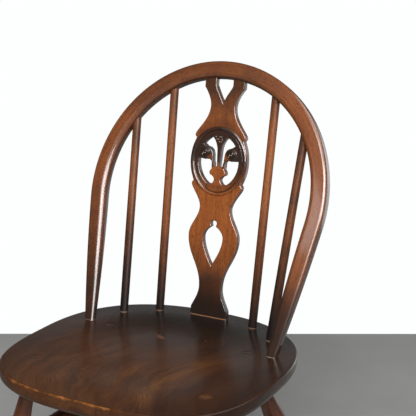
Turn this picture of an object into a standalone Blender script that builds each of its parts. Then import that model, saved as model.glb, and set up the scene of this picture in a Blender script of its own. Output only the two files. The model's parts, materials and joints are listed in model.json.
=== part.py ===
"""Hoop-back dining chair with a pierced thistle splat.

Units are metres and +Z is up. The pieces are laid out in a seat frame: its origin is the middle of the
seat top, X runs to the right seen from the front, Y runs to the back and Z is square to the plank. That
frame is tilted and raised onto the legs, and the whole chair is then centred, so that the origin is the
bottom centre of its box.
"""
import math

import bmesh
import bpy
from mathutils import Matrix, Vector
from mathutils.geometry import interpolate_bezier

# Fit between neighbouring pieces
FIT = 0.0003

# Seat plank
SEAT_HEIGHT = 0.440
SEAT_SLOPE = math.radians(2.5)
SEAT_HALF_WIDTH = 0.2145
SEAT_FRONT_DEPTH = 0.216
SEAT_BACK_DEPTH = 0.2125
SEAT_FRONT_FULLNESS = 3.05
SEAT_BACK_FULLNESS = 2.4
SEAT_THICKNESS = 0.034
SEAT_EDGE = 0.013
SEAT_EDGE_ROUND = 0.004
SEAT_UNDERCUT = 0.040
DISH_DEPTH = 0.007
DISH_MARGIN = 0.036
DISH_RUN = 0.095

# Bow: an elliptical crown on straight, tapering legs, in one leaning plane
BOW_FOOT_Y = 0.070
BOW_LEAN = math.radians(21.4)
BOW_FOOT_HALF = 0.1685
BOW_HALF_WIDTH = 0.200
BOW_HEIGHT = 0.450
BOW_CROWN = 0.209
BOW_SECTION_WIDTH = 0.028
BOW_SECTION_DEPTH = 0.0245
BOW_SECTION_ROUND = 0.006
BOW_FOOT_SCALE = 0.58
BOW_TENON_SCALE = 0.50
BOW_TAPER_RUN = 0.22

# Spindles, socketed in the seat and in the bow
SPINDLE_INNER_X = 0.0893
SPINDLE_OUTER_X = 0.139
SPINDLE_INNER_TOP_X = 0.0947
SPINDLE_OUTER_TOP_X = 0.157
SPINDLE_FOOT_RADIUS = 0.0070
SPINDLE_BELLY_RADIUS = 0.0073
SPINDLE_TOP_RADIUS = 0.0071
SPINDLE_SOCKET = 0.020
BACK_LINE_INSET_SIDE = 0.0365
BACK_LINE_INSET_BACK = 0.026
BACK_LINE_FULLNESS = 2.3

# Splat: outline half widths and heights above the seat top
SPLAT_THICKNESS = 0.0125
SPLAT_SET = 0.0015
SPLAT_BEND = 0.0045
SPLAT_EDGE_ROUND = 0.0010
SPLAT_HOUSING = 0.012
SPLAT_FOOT_HALF = 0.0345
SPLAT_FOOT_RISE = 0.013
SPLAT_ANKLE_HALF = 0.0208
SPLAT_ANKLE_HEIGHT = 0.052
SPLAT_BELLY_HALF = 0.0467
SPLAT_BELLY_HEIGHT = 0.139
SPLAT_WAIST_HALF = 0.0288
SPLAT_WAIST_HEIGHT = 0.189
SPLAT_NECK_HALF = 0.0228
SPLAT_NECK_HEIGHT = 0.361
SPLAT_PRONG_HALF = 0.0367
SPLAT_PRONG_RISE = 0.026
NOTCH_HALF = 0.0165
NOTCH_RISE = 0.022
NOTCH_DEPTH = 0.051

# Oval moulding and the shoulders that hold it
OVAL_HEIGHT = 0.2695
OVAL_HALF_WIDTH = 0.0528
OVAL_HALF_HEIGHT = 0.0595
OVAL_BAND = 0.0155
SHOULDER_HALF = 0.0472
SHOULDER_REACH = 0.0425
SHOULDER_LIP = 0.006
BEAD_RADIUS = 0.0042
BEAD_INSET = 0.0044
BEAD_RISE = 0.0020
GROOVE_RADIUS = 0.0008
GROOVE_INSET = 0.0088

# Teardrop opening with its small round knob
TEAR_HALF = 0.0184
TEAR_BOTTOM = 0.090
TEAR_SHOULDER = 0.138
TEAR_TOP = 0.158
KNOB_HALF = 0.0056
KNOB_RISE = 0.010

# Legs: turned, tenoned through the seat and wedged
FRONT_LEG_X = 0.150
FRONT_LEG_Y = -0.115
FRONT_LEG_SPLAY_OUT = 0.20
FRONT_LEG_SPLAY_ALONG = -0.0875
REAR_LEG_X = 0.129
REAR_LEG_Y = 0.066
REAR_LEG_SPLAY_OUT = 0.24
REAR_LEG_SPLAY_ALONG = 0.41
LEG_TENON_RADIUS = 0.0102
LEG_SWELL_RADIUS = 0.0180
LEG_SWELL_DROP = 0.175
LEG_FOOT_RADIUS = 0.0118

# Stretchers: two side rails and one cross rail
STRETCHER_HEIGHT = 0.285
STRETCHER_END_RADIUS = 0.0078
STRETCHER_SWELL_RADIUS = 0.0115
CROSS_END_RADIUS = 0.0070
CROSS_SWELL_RADIUS = 0.0108

# Wedges that spread the through tenons
WEDGE_LENGTH = 0.022
WEDGE_THICK = 0.0030
WEDGE_THIN = 0.0010
BOW_WEDGE_LENGTH = 0.020
BOW_WEDGE_THICK = 0.0024
BOW_WEDGE_THIN = 0.0008

# Facets
SEAT_SEGMENTS = 72
BOW_CROWN_STEPS = 36
BOW_LEG_STEPS = 8
CORNER_STEPS = 3
LEG_STEPS = 20
SPINDLE_STEPS = 16
STRETCHER_STEPS = 18
PROFILE_STATIONS = 7
OVAL_SEGMENTS = 40
SPLAT_RESOLUTION = 5
OPENING_RESOLUTION = 3
BEND_STEPS = 12

# Shares that shape the curves: rings of the seat top, spindle swell, and handles of the splat's outline
TOP_RINGS = (1.0, 0.8, 0.62, 0.46, 0.32, 0.2, 0.1)
SEAT_HEART = 0.88
SPINDLE_SWELL_END = 0.70
SPINDLE_TAPER_START = 0.35
HANDLE_FULL = 0.46
HANDLE_EVEN = 0.40
HANDLE_TIGHT = 0.36

# Overshoot of trimming solids, the reach of solids that only cut, and the angle of a sharp edge
OVERSHOOT = 0.012
TRIM_REACH = 0.06
FLOOR_REACH = 1.0
SHARP_ANGLE = math.radians(32.0)
MERGE = 0.00001

PARTS = "thistle_back_chair"
CUTTERS = "cutters"

STAIN_BACK = (0.150, 0.052, 0.022)
STAIN_SPLAT = (0.190, 0.070, 0.028)
STAIN_SEAT = (0.048, 0.020, 0.011)
STAIN_LEG = (0.130, 0.046, 0.020)
STAIN_WEDGE = (0.260, 0.120, 0.050)


def clear_scene():
    """Removes every object and collection of the open file."""
    for item in list(bpy.data.objects):
        bpy.data.objects.remove(item, do_unlink=True)
    for group in list(bpy.data.collections):
        bpy.data.collections.remove(group)


def new_collection(name):
    group = bpy.data.collections.new(name)
    bpy.context.scene.collection.children.link(group)
    return group


def new_empty(name, parent=None):
    empty = bpy.data.objects.new(name, None)
    bpy.data.collections[PARTS].objects.link(empty)
    empty.parent = parent
    return empty


def finish(name, colour, roughness=0.32):
    """A stained and lacquered wood, as one Principled material."""
    material = bpy.data.materials.new(name + "_finish")
    material.use_nodes = True
    shader = material.node_tree.nodes["Principled BSDF"]
    shader.inputs["Base Color"].default_value = (*colour, 1.0)
    shader.inputs["Roughness"].default_value = roughness
    shader.inputs["Metallic"].default_value = 0.0
    return material


def place(item, frame, matrix, group):
    """Puts an object in a collection, under the frame, at a matrix of that frame."""
    for old in list(item.users_collection):
        old.objects.unlink(item)
    bpy.data.collections[group].objects.link(item)
    item.parent = frame
    item.matrix_basis = matrix
    return item


def as_cutter(item):
    item.hide_render = True
    item.display_type = "WIRE"
    return item


def dress(item, colour):
    """Gives a piece its material and smooth shading, with its hard edges kept."""
    item.data.shade_smooth()
    item.data.set_sharp_from_angle(angle=SHARP_ANGLE)
    item.data.materials.clear()
    item.data.materials.append(finish(item.name, colour))
    return item


def boolean(item, tool, operation="DIFFERENCE"):
    modifier = item.modifiers.new(tool.name, "BOOLEAN")
    modifier.operation = operation
    modifier.solver = "EXACT"
    modifier.object = tool


def aim(start, end):
    """A matrix at start whose Z points at end and whose X stays near the seat's X."""
    z_axis = (Vector(end) - Vector(start)).normalized()
    y_axis = z_axis.cross(Vector((1.0, 0.0, 0.0)))
    if y_axis.length < 0.5:
        y_axis = z_axis.cross(Vector((0.0, 1.0, 0.0)))
    y_axis.normalize()
    x_axis = y_axis.cross(z_axis)
    matrix = Matrix((x_axis, y_axis, z_axis)).transposed().to_4x4()
    matrix.translation = Vector(start)
    return matrix


def ease(share):
    """A smooth step from 0 to 1."""
    share = min(max(share, 0.0), 1.0)
    return share * share * (3.0 - 2.0 * share)


def turned(name, profile, steps):
    """A turned solid: (radius, height) pairs from top to bottom, swept about Z."""
    mesh = bpy.data.meshes.new(name)
    points = [(0.0, 0.0, profile[0][1])]
    points += [(radius, 0.0, height) for radius, height in profile]
    points += [(0.0, 0.0, profile[-1][1])]
    mesh.from_pydata(points, [(i, i + 1) for i in range(len(points) - 1)], [])
    item = bpy.data.objects.new(name, mesh)
    screw = item.modifiers.new("turning", "SCREW")
    screw.axis = "Z"
    screw.steps = steps
    screw.render_steps = steps
    screw.use_merge_vertices = True
    screw.merge_threshold = MERGE
    screw.use_smooth_shade = True
    return item


def grown(profile, amount):
    """The same turned profile with a clearance all round."""
    wider = [(radius + amount, height) for radius, height in profile]
    wider[0] = (wider[0][0], wider[0][1] + amount)
    wider[-1] = (wider[-1][0], wider[-1][1] - amount)
    return wider


def curve_to_mesh(item, frame, matrix, group):
    """Turns a curve object into a welded mesh object of the same name."""
    bpy.context.scene.collection.objects.link(item)
    graph = bpy.context.evaluated_depsgraph_get()
    mesh = bpy.data.meshes.new_from_object(item.evaluated_get(graph))
    name = item.name
    curve = item.data
    bpy.data.objects.remove(item, do_unlink=True)
    bpy.data.curves.remove(curve)
    work = bmesh.new()
    work.from_mesh(mesh)
    bmesh.ops.remove_doubles(work, verts=work.verts, dist=MERGE)
    bmesh.ops.recalc_face_normals(work, faces=work.faces)
    work.to_mesh(mesh)
    work.free()
    mesh.name = name
    solid = bpy.data.objects.new(name, mesh)
    return place(solid, frame, matrix, group)


def block(name, low, high, frame, matrix):
    """A cutting box between two corners of a local frame."""
    mesh = bpy.data.meshes.new(name)
    work = bmesh.new()
    bmesh.ops.create_cube(work, size=1.0)
    low = Vector(low)
    high = Vector(high)
    for vert in work.verts:
        share = vert.co + Vector((0.5, 0.5, 0.5))
        vert.co = Vector(low[i] + (high[i] - low[i]) * share[i] for i in range(3))
    work.to_mesh(mesh)
    work.free()
    item = bpy.data.objects.new(name, mesh)
    return as_cutter(place(item, frame, matrix, CUTTERS))


def seat_radius(angle, inset):
    """How far the seat's outline lies from its centre, a given inset from the edge."""
    cosine = abs(math.cos(angle))
    sine = abs(math.sin(angle))
    behind = math.sin(angle) >= 0.0
    depth = (SEAT_BACK_DEPTH if behind else SEAT_FRONT_DEPTH) - inset
    fullness = SEAT_BACK_FULLNESS if behind else SEAT_FRONT_FULLNESS
    width = SEAT_HALF_WIDTH - inset
    return ((cosine / width) ** fullness + (sine / depth) ** fullness) ** (-1.0 / fullness)


def dish(inset):
    """Height of the seat top a given inset from the edge."""
    return -DISH_DEPTH * ease((inset - DISH_MARGIN) / DISH_RUN)


def seat_heart():
    """The inset at which the seat's rings close."""
    return SEAT_HEART * min(SEAT_HALF_WIDTH, SEAT_FRONT_DEPTH, SEAT_BACK_DEPTH)


def top_stations(start):
    """Insets and heights of the seat top, from its middle out to a start of the rim."""
    run = seat_heart() - start
    insets = [start + run * share for share in TOP_RINGS] + [start]
    return [(inset, dish(inset)) for inset in insets]


def ring_loft(name, stations):
    """A closed solid whose rings follow the seat's outline at (inset, height) stations."""
    mesh = bpy.data.meshes.new(name)
    work = bmesh.new()
    circle = bmesh.ops.create_circle(work, segments=SEAT_SEGMENTS, radius=1.0)

    def settle(verts, station):
        for vert in verts:
            angle = math.atan2(vert.co.y, vert.co.x)
            reach = seat_radius(angle, station[0])
            vert.co = (reach * math.cos(angle), reach * math.sin(angle), station[1])

    settle(circle["verts"], stations[0])
    edges = list(work.edges)
    bmesh.ops.contextual_create(work, geom=edges)
    for station in stations[1:]:
        made = bmesh.ops.extrude_edge_only(work, edges=edges)["geom"]
        settle([part for part in made if isinstance(part, bmesh.types.BMVert)], station)
        edges = [part for part in made if isinstance(part, bmesh.types.BMEdge)
                 and len(part.link_faces) == 1]
    bmesh.ops.contextual_create(work, geom=edges)
    bmesh.ops.recalc_face_normals(work, faces=work.faces)
    work.to_mesh(mesh)
    work.free()
    return bpy.data.objects.new(name, mesh)


def make_seat(frame):
    """The plank: a dished top, a round arris, an upright edge and a relieved underside."""
    stations = top_stations(SEAT_EDGE_ROUND)
    for step in range(1, CORNER_STEPS + 1):
        turn = 0.5 * math.pi * step / CORNER_STEPS
        stations.append((SEAT_EDGE_ROUND * (1.0 - math.sin(turn)),
                         -SEAT_EDGE_ROUND * (1.0 - math.cos(turn))))
    stations.append((0.0, -SEAT_EDGE))
    for step in range(1, CORNER_STEPS + 2):
        turn = 0.5 * math.pi * step / (CORNER_STEPS + 1)
        stations.append((SEAT_UNDERCUT * (1.0 - math.cos(turn)),
                         -SEAT_EDGE - (SEAT_THICKNESS - SEAT_EDGE) * math.sin(turn)))
    stations.append((seat_heart(), -SEAT_THICKNESS))
    seat = ring_loft("seat", stations)
    return dress(place(seat, frame, Matrix(), PARTS), STAIN_SEAT)


def make_top_trim(frame):
    """The space above the seat top, which trims tenons flush with the dish."""
    stations = top_stations(-OVERSHOOT)
    stations += [(-OVERSHOOT, TRIM_REACH), (seat_heart(), TRIM_REACH)]
    return as_cutter(place(ring_loft("above_seat", stations), frame, Matrix(), CUTTERS))


def bow_matrix():
    """The bow's plane: X across, Y up the lean and Z to the back."""
    lean = Matrix.Rotation(0.5 * math.pi - BOW_LEAN, 4, "X")
    return Matrix.Translation((0.0, BOW_FOOT_Y, 0.0)) @ lean


def bow_tangent():
    """The angle below the crown's widest point where a straight leg meets the ellipse."""
    across = BOW_FOOT_HALF / BOW_HALF_WIDTH
    along = (BOW_HEIGHT - BOW_CROWN) / BOW_CROWN
    return math.acos(1.0 / math.hypot(across, along)) - math.atan2(along, across)


def bow_scale(height):
    """How the bow's section tapers towards its feet."""
    if height >= 0.0:
        lack = max(1.0 - height / BOW_TAPER_RUN, 0.0)
        return 1.0 - (1.0 - BOW_FOOT_SCALE) * lack * lack
    share = min(-height / SEAT_THICKNESS, 1.0)
    return BOW_FOOT_SCALE + (BOW_TENON_SCALE - BOW_FOOT_SCALE) * share


def bow_path():
    """Points (x, height) of the bow's centre line in its plane, from left foot to right."""
    start = bow_tangent()
    centre = BOW_HEIGHT - BOW_CROWN
    meet_x = BOW_HALF_WIDTH * math.cos(start)
    meet_y = centre + BOW_CROWN * math.sin(start)
    slope = (meet_x - BOW_FOOT_HALF) / meet_y
    foot = -(SEAT_THICKNESS / math.cos(BOW_LEAN) + OVERSHOOT)
    right = [(BOW_FOOT_HALF + slope * foot, foot)]
    for step in range(BOW_LEG_STEPS):
        height = meet_y * step / BOW_LEG_STEPS
        right.append((BOW_FOOT_HALF + slope * height, height))
    sweep = math.pi - 2.0 * start
    crown = []
    for step in range(BOW_CROWN_STEPS + 1):
        angle = start + sweep * step / BOW_CROWN_STEPS
        crown.append((BOW_HALF_WIDTH * math.cos(angle), centre + BOW_CROWN * math.sin(angle)))
    left = [(-x, height) for x, height in reversed(right)]
    return right + crown + left


def bow_section(name, grow):
    """The bow's rounded section as a closed curve, with a clearance."""
    half_x = 0.5 * BOW_SECTION_WIDTH + grow
    half_y = 0.5 * BOW_SECTION_DEPTH + grow
    radius = min(BOW_SECTION_ROUND + grow, 0.98 * half_x, 0.98 * half_y)
    points = []
    for corner in range(4):
        middle = 0.5 * math.pi * corner + 0.25 * math.pi
        x_sign = math.copysign(1.0, math.cos(middle))
        y_sign = math.copysign(1.0, math.sin(middle))
        for step in range(CORNER_STEPS + 1):
            turn = 0.5 * math.pi * (corner + step / CORNER_STEPS)
            points.append((x_sign * (half_x - radius) + radius * math.cos(turn),
                           y_sign * (half_y - radius) + radius * math.sin(turn)))
    curve = bpy.data.curves.new(name, "CURVE")
    curve.dimensions = "2D"
    curve.fill_mode = "NONE"
    spline = curve.splines.new("POLY")
    spline.points.add(len(points) - 1)
    for point, (x, y) in zip(spline.points, points):
        point.co = (x, y, 0.0, 1.0)
    spline.use_cyclic_u = True
    item = bpy.data.objects.new(name, curve)
    bpy.data.collections[CUTTERS].objects.link(item)
    return as_cutter(item)


def bow_sweep(name, frame, group, grow=0.0):
    """The bow's section swept along its path, as a mesh in the seat frame."""
    section = bow_section(name + "_section", grow)
    curve = bpy.data.curves.new(name, "CURVE")
    curve.dimensions = "3D"
    curve.twist_mode = "Z_UP"
    curve.bevel_mode = "OBJECT"
    curve.bevel_object = section
    curve.use_fill_caps = True
    path = bow_path()
    spline = curve.splines.new("POLY")
    spline.points.add(len(path) - 1)
    for point, (x, height) in zip(spline.points, path):
        point.co = (x, height, 0.0, 1.0)
        point.radius = bow_scale(height)
    item = bpy.data.objects.new(name, curve)
    return curve_to_mesh(item, frame, bow_matrix(), group)


def bow_point(x):
    """A point of the bow's crown, in the seat frame."""
    height = BOW_HEIGHT - BOW_CROWN
    height += BOW_CROWN * math.sqrt(1.0 - (x / BOW_HALF_WIDTH) ** 2)
    return bow_matrix() @ Vector((x, height, 0.0))


def back_line(x):
    """Where the seat's row of sockets lies, a steady inset from the seat's back edge."""
    width = SEAT_HALF_WIDTH - BACK_LINE_INSET_SIDE
    depth = SEAT_BACK_DEPTH - BACK_LINE_INSET_BACK
    rest = 1.0 - (abs(x) / width) ** BACK_LINE_FULLNESS
    return depth * rest ** (1.0 / BACK_LINE_FULLNESS)


def spindle_profile(length):
    """Radii of a spindle from its top in the bow down to its foot in the seat."""
    profile = []
    for station in range(PROFILE_STATIONS + 1):
        share = 1.0 - station / PROFILE_STATIONS
        swell = math.sin(math.pi * min(share / SPINDLE_SWELL_END, 1.0))
        taper = ease((share - SPINDLE_TAPER_START) / (1.0 - SPINDLE_TAPER_START))
        radius = SPINDLE_FOOT_RADIUS + (SPINDLE_TOP_RADIUS - SPINDLE_FOOT_RADIUS) * taper
        radius += (SPINDLE_BELLY_RADIUS - SPINDLE_FOOT_RADIUS) * swell
        profile.append((radius, -SPINDLE_SOCKET + (length + SPINDLE_SOCKET) * share))
    return profile


def make_spindles(frame, seat, bow):
    """Four spindles and the sockets that take them."""
    rows = (("inner", SPINDLE_INNER_X, SPINDLE_INNER_TOP_X),
            ("outer", SPINDLE_OUTER_X, SPINDLE_OUTER_TOP_X))
    for row, foot_x, top_x in rows:
        for side, sign in (("left", -1.0), ("right", 1.0)):
            foot = Vector((sign * foot_x, back_line(foot_x), 0.0))
            top = bow_point(sign * top_x)
            profile = spindle_profile((top - foot).length)
            name = f"spindle_{row}_{side}"
            matrix = aim(foot, top)
            spindle = place(turned(name, profile, SPINDLE_STEPS), frame, matrix, PARTS)
            dress(spindle, STAIN_BACK)
            socket = turned(name + "_socket", grown(profile, FIT), SPINDLE_STEPS)
            as_cutter(place(socket, frame, matrix, CUTTERS))
            boolean(seat, socket)
            boolean(bow, socket)


def splat_matrix():
    """The splat's plane, just before the row of sockets: X across, Y up it and Z to the front."""
    foot = Vector((0.0, back_line(0.0), 0.0))
    y_axis = (bow_point(0.0) - foot).normalized()
    x_axis = Vector((1.0, 0.0, 0.0))
    z_axis = x_axis.cross(y_axis)
    matrix = Matrix((x_axis, y_axis, z_axis)).transposed().to_4x4()
    matrix.translation = foot + SPLAT_SET * z_axis
    return matrix


def splat_top():
    """Height of the prongs' ends, housed in the bow short of its centre line."""
    foot = Vector((0.0, back_line(0.0), 0.0))
    reach = (bow_point(0.0) - foot).length
    sag = reach - (bow_point(SPLAT_PRONG_HALF) - foot).length
    return reach - abs(sag) - 2.0 * FIT


def splat_outline():
    """The right half of the outline, as (x, y, handle in, handle out) from foot to notch."""
    top = splat_top()
    ear = top - SPLAT_PRONG_RISE
    low_ear = OVAL_HEIGHT - SHOULDER_REACH
    high_ear = OVAL_HEIGHT + SHOULDER_REACH
    lip = SHOULDER_LIP
    lip_half = SHOULDER_HALF - 0.45 * lip
    oval_pull = 0.5 * (SHOULDER_REACH - lip)
    ankle_pull = HANDLE_EVEN * (SPLAT_ANKLE_HEIGHT - SPLAT_FOOT_RISE)
    belly_pull = HANDLE_EVEN * (SPLAT_BELLY_HEIGHT - SPLAT_ANKLE_HEIGHT)
    waist_pull = HANDLE_TIGHT * (SPLAT_WAIST_HEIGHT - SPLAT_BELLY_HEIGHT)
    ear_pull = HANDLE_TIGHT * (low_ear - SPLAT_WAIST_HEIGHT)
    neck_pull = HANDLE_FULL * (SPLAT_NECK_HEIGHT - high_ear)
    prong_pull = HANDLE_EVEN * (ear - SPLAT_NECK_HEIGHT)
    brim = top - NOTCH_RISE
    notch = top - NOTCH_DEPTH
    notch_pull = 0.5 * (brim - notch)
    none = (0.0, 0.0)
    return [
        (SPLAT_FOOT_HALF, -SPLAT_HOUSING, none, none),
        (SPLAT_FOOT_HALF, SPLAT_FOOT_RISE, none, (-0.35 * ankle_pull, 0.8 * ankle_pull)),
        (SPLAT_ANKLE_HALF, SPLAT_ANKLE_HEIGHT, (0.0, -ankle_pull), (0.0, belly_pull)),
        (SPLAT_BELLY_HALF, SPLAT_BELLY_HEIGHT, (0.0, -belly_pull), (0.0, waist_pull)),
        (SPLAT_WAIST_HALF, SPLAT_WAIST_HEIGHT, (0.0, -waist_pull), (0.0, ear_pull)),
        (SHOULDER_HALF, low_ear, (-0.1 * lip, -1.2 * lip), (0.2 * lip, 0.4 * lip)),
        (lip_half, low_ear + lip, none, (0.2 * oval_pull, 0.5 * oval_pull)),
        (OVAL_HALF_WIDTH, OVAL_HEIGHT, (0.0, -oval_pull), (0.0, oval_pull)),
        (lip_half, high_ear - lip, (0.2 * oval_pull, -0.5 * oval_pull), none),
        (SHOULDER_HALF, high_ear, (0.2 * lip, -0.4 * lip), (-0.1 * lip, 1.2 * lip)),
        (SPLAT_NECK_HALF, SPLAT_NECK_HEIGHT, (0.0, -neck_pull), (0.0, prong_pull)),
        (SPLAT_PRONG_HALF, ear, (-0.4 * prong_pull, -0.5 * prong_pull), none),
        (SPLAT_PRONG_HALF, top, none, none),
        (NOTCH_HALF, top, none, none),
        (NOTCH_HALF, brim, none, (-0.1 * notch_pull, -0.45 * notch_pull)),
        (0.0, notch, (0.3 * notch_pull, 0.8 * notch_pull), none),
    ]


def mirrored(points):
    """The left half that follows a right half, in reverse order."""
    flipped = []
    for x, y, before, after in reversed(points):
        if x > MERGE:
            flipped.append((-x, y, (-after[0], after[1]), (-before[0], before[1])))
    return points + flipped


def oval_point(angle, inset):
    """A point of the oval's inner lines, a given inset from its edge."""
    return ((OVAL_HALF_WIDTH - inset) * math.cos(angle),
            OVAL_HEIGHT + (OVAL_HALF_HEIGHT - inset) * math.sin(angle))


def thistle_openings():
    """The two openings on the thistle's right, drawn in an oval of half sizes 1 by 1.

    Each is a list of (x, y, corner). The stretches along the oval are arcs, and the rest
    is the edge of the flower, its stems, its buds and its calyx.
    """
    def arc(first, last, count):
        turns = [math.radians(first + (last - first) * i / (count - 1)) for i in range(count)]
        return [(math.cos(turn), math.sin(turn), i in (0, count - 1))
                for i, turn in enumerate(turns)]

    upper = arc(68.0, 39.0, 4)
    upper += [(0.58, 0.52, False), (0.36, 0.42, False), (0.28, 0.16, False)]
    upper += [(0.25, -0.22, True), (0.03, -0.22, True)]
    upper += [(0.06, 0.16, False), (0.08, 0.50, False), (0.20, 0.76, False)]
    lower = arc(3.0, -62.0, 6)
    lower += [(0.28, -0.89, False), (0.165, -0.73, False), (0.24, -0.60, False)]
    lower += [(0.39, -0.52, False), (0.41, -0.42, False), (0.32, -0.29, False), (0.30, -0.12, False)]
    lower += [(0.42, 0.03, False), (0.70, 0.035, False)]
    return upper, lower


def teardrop():
    """The right half of the teardrop opening, from its point up to its knob."""
    fall = TEAR_SHOULDER - TEAR_BOTTOM
    rise = TEAR_TOP - TEAR_SHOULDER
    none = (0.0, 0.0)
    knob = TEAR_TOP + 0.55 * KNOB_RISE
    return [
        (0.0, TEAR_BOTTOM, none, (0.15 * TEAR_HALF, 0.05 * fall)),
        (TEAR_HALF, TEAR_SHOULDER, (0.0, -0.42 * fall), (0.0, 0.6 * rise)),
        (0.75 * KNOB_HALF, TEAR_TOP, (0.45 * KNOB_HALF, -0.12 * rise), none),
        (KNOB_HALF, knob, (0.0, -0.2 * KNOB_RISE), (0.0, 0.25 * KNOB_RISE)),
        (0.0, TEAR_TOP + KNOB_RISE, (0.6 * KNOB_HALF, 0.0), (-0.6 * KNOB_HALF, 0.0)),
    ]


def smooth_handles(points):
    """Handles for (x, y, corner) points: smooth through the points, none at a corner."""
    made = []
    for index, (x, y, corner) in enumerate(points):
        before = points[index - 1]
        after = points[(index + 1) % len(points)]
        pull_x = 0.0 if corner else (after[0] - before[0]) / 6.0
        pull_y = 0.0 if corner else (after[1] - before[1]) / 6.0
        made.append((x, y, (-pull_x, -pull_y), (pull_x, pull_y)))
    return made


def add_outline(curve, points, resolution):
    """Adds a closed spline through (x, y, handle in, handle out) points.

    A stretch with no handles stays one straight edge, and the others are Bezier arcs.
    """
    path = []
    for index, (x, y, _, pull) in enumerate(points):
        next_x, next_y, push, _ = points[(index + 1) % len(points)]
        start = Vector((x, y))
        end = Vector((next_x, next_y))
        if pull == push == (0.0, 0.0):
            path.append(start)
            continue
        path += interpolate_bezier(start, start + Vector(pull), end + Vector(push), end,
                                   resolution + 1)[:-1]
    spline = curve.splines.new("POLY")
    spline.points.add(len(path) - 1)
    for point, spot in zip(spline.points, path):
        point.co = (spot.x, spot.y, 0.0, 1.0)
    spline.use_cyclic_u = True


def fit_oval(points, side):
    """Points of the unit oval set inside the moulding, on one side of the splat."""
    half_x = side * (OVAL_HALF_WIDTH - OVAL_BAND)
    half_y = OVAL_HALF_HEIGHT - OVAL_BAND
    return [(half_x * x, OVAL_HEIGHT + half_y * y, corner) for x, y, corner in points]


def bent(item):
    """Bends the splat, or what is joined to it, forward between the seat and the bow."""
    work = bmesh.new()
    work.from_mesh(item.data)
    span = splat_top() - SPLAT_PRONG_RISE
    for step in range(1, BEND_STEPS):
        geometry = list(work.verts) + list(work.edges) + list(work.faces)
        height = span * step / BEND_STEPS
        bmesh.ops.bisect_plane(work, geom=geometry, dist=MERGE, plane_co=(0.0, height, 0.0),
                               plane_no=(0.0, 1.0, 0.0))
    for vert in work.verts:
        share = min(max(vert.co.y / span, 0.0), 1.0)
        vert.co.z += 4.0 * SPLAT_BEND * share * (1.0 - share)
    work.to_mesh(item.data)
    work.free()
    return item


def oval_ring(name, inset, radius, depth, frame):
    """A round rod bent along the oval, sunk a given depth below the splat's face."""
    curve = bpy.data.curves.new(name, "CURVE")
    curve.dimensions = "3D"
    curve.twist_mode = "Z_UP"
    curve.bevel_depth = radius
    curve.bevel_resolution = 2
    spline = curve.splines.new("POLY")
    spline.points.add(OVAL_SEGMENTS - 1)
    face = 0.5 * SPLAT_THICKNESS - depth
    for index, point in enumerate(spline.points):
        x, y = oval_point(math.tau * index / OVAL_SEGMENTS, inset)
        point.co = (x, y, face, 1.0)
    spline.use_cyclic_u = True
    item = bpy.data.objects.new(name, curve)
    return as_cutter(bent(curve_to_mesh(item, frame, splat_matrix(), CUTTERS)))


def make_splat(frame, seat, bow):
    """The pierced splat with its moulded oval, and the slots that house it."""
    curve = bpy.data.curves.new("splat", "CURVE")
    curve.dimensions = "2D"
    curve.fill_mode = "BOTH"
    curve.extrude = 0.5 * SPLAT_THICKNESS - SPLAT_EDGE_ROUND
    curve.bevel_depth = SPLAT_EDGE_ROUND
    curve.bevel_resolution = 0
    curve.offset = -SPLAT_EDGE_ROUND
    add_outline(curve, mirrored(splat_outline()), SPLAT_RESOLUTION)
    add_outline(curve, mirrored(teardrop()), SPLAT_RESOLUTION)
    for opening in thistle_openings():
        for side in (-1.0, 1.0):
            points = smooth_handles(fit_oval(opening, side))
            add_outline(curve, points, OPENING_RESOLUTION)
    matrix = splat_matrix()
    splat = bent(curve_to_mesh(bpy.data.objects.new("splat", curve), frame, matrix, PARTS))
    dress(splat, STAIN_SPLAT)
    bead = oval_ring("splat_bead", BEAD_INSET, BEAD_RADIUS, BEAD_RADIUS - BEAD_RISE, frame)
    groove = oval_ring("splat_groove", GROOVE_INSET, GROOVE_RADIUS, 0.0, frame)
    boolean(splat, bead, "UNION")
    boolean(splat, groove)
    half = 0.5 * SPLAT_THICKNESS + FIT
    slot = block("splat_slot", (-SPLAT_FOOT_HALF - FIT, -SPLAT_HOUSING - FIT, -half),
                 (SPLAT_FOOT_HALF + FIT, OVERSHOOT, half), frame, matrix)
    boolean(seat, slot)
    top = splat_top()
    for side in (-1.0, 1.0):
        inner = side * (NOTCH_HALF - FIT)
        outer = side * (SPLAT_PRONG_HALF + FIT)
        mortise = block("splat_mortise", (min(inner, outer), top - BOW_SECTION_WIDTH, -half),
                        (max(inner, outer), top + FIT, half), frame, matrix)
        boolean(bow, mortise)
    return splat


def seat_lift():
    """Height of the seat frame's origin above the floor."""
    return SEAT_HEIGHT - SEAT_FRONT_DEPTH * math.sin(SEAT_SLOPE)


def floor_height(point):
    """Height above the floor of a point of the seat frame."""
    tilt = -point.y * math.sin(SEAT_SLOPE) + point.z * math.cos(SEAT_SLOPE)
    return seat_lift() + tilt


def leg_rows():
    """Name, tenon centre and downward direction of each leg, in the seat frame."""
    rows = []
    pairs = (("front", FRONT_LEG_X, FRONT_LEG_Y, FRONT_LEG_SPLAY_OUT, FRONT_LEG_SPLAY_ALONG),
             ("rear", REAR_LEG_X, REAR_LEG_Y, REAR_LEG_SPLAY_OUT, REAR_LEG_SPLAY_ALONG))
    for pair, x, y, out, along in pairs:
        for side, sign in (("left", -1.0), ("right", 1.0)):
            down = Vector((sign * out, along, -1.0)).normalized()
            rows.append((f"{pair}_{side}", Vector((sign * x, y, 0.0)), down))
    return rows


def leg_at(head, down, height):
    """The point of a leg's axis at a height above the floor."""
    rate = floor_height(head) - floor_height(head + down)
    return head + down * ((floor_height(head) - height) / rate)


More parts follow.
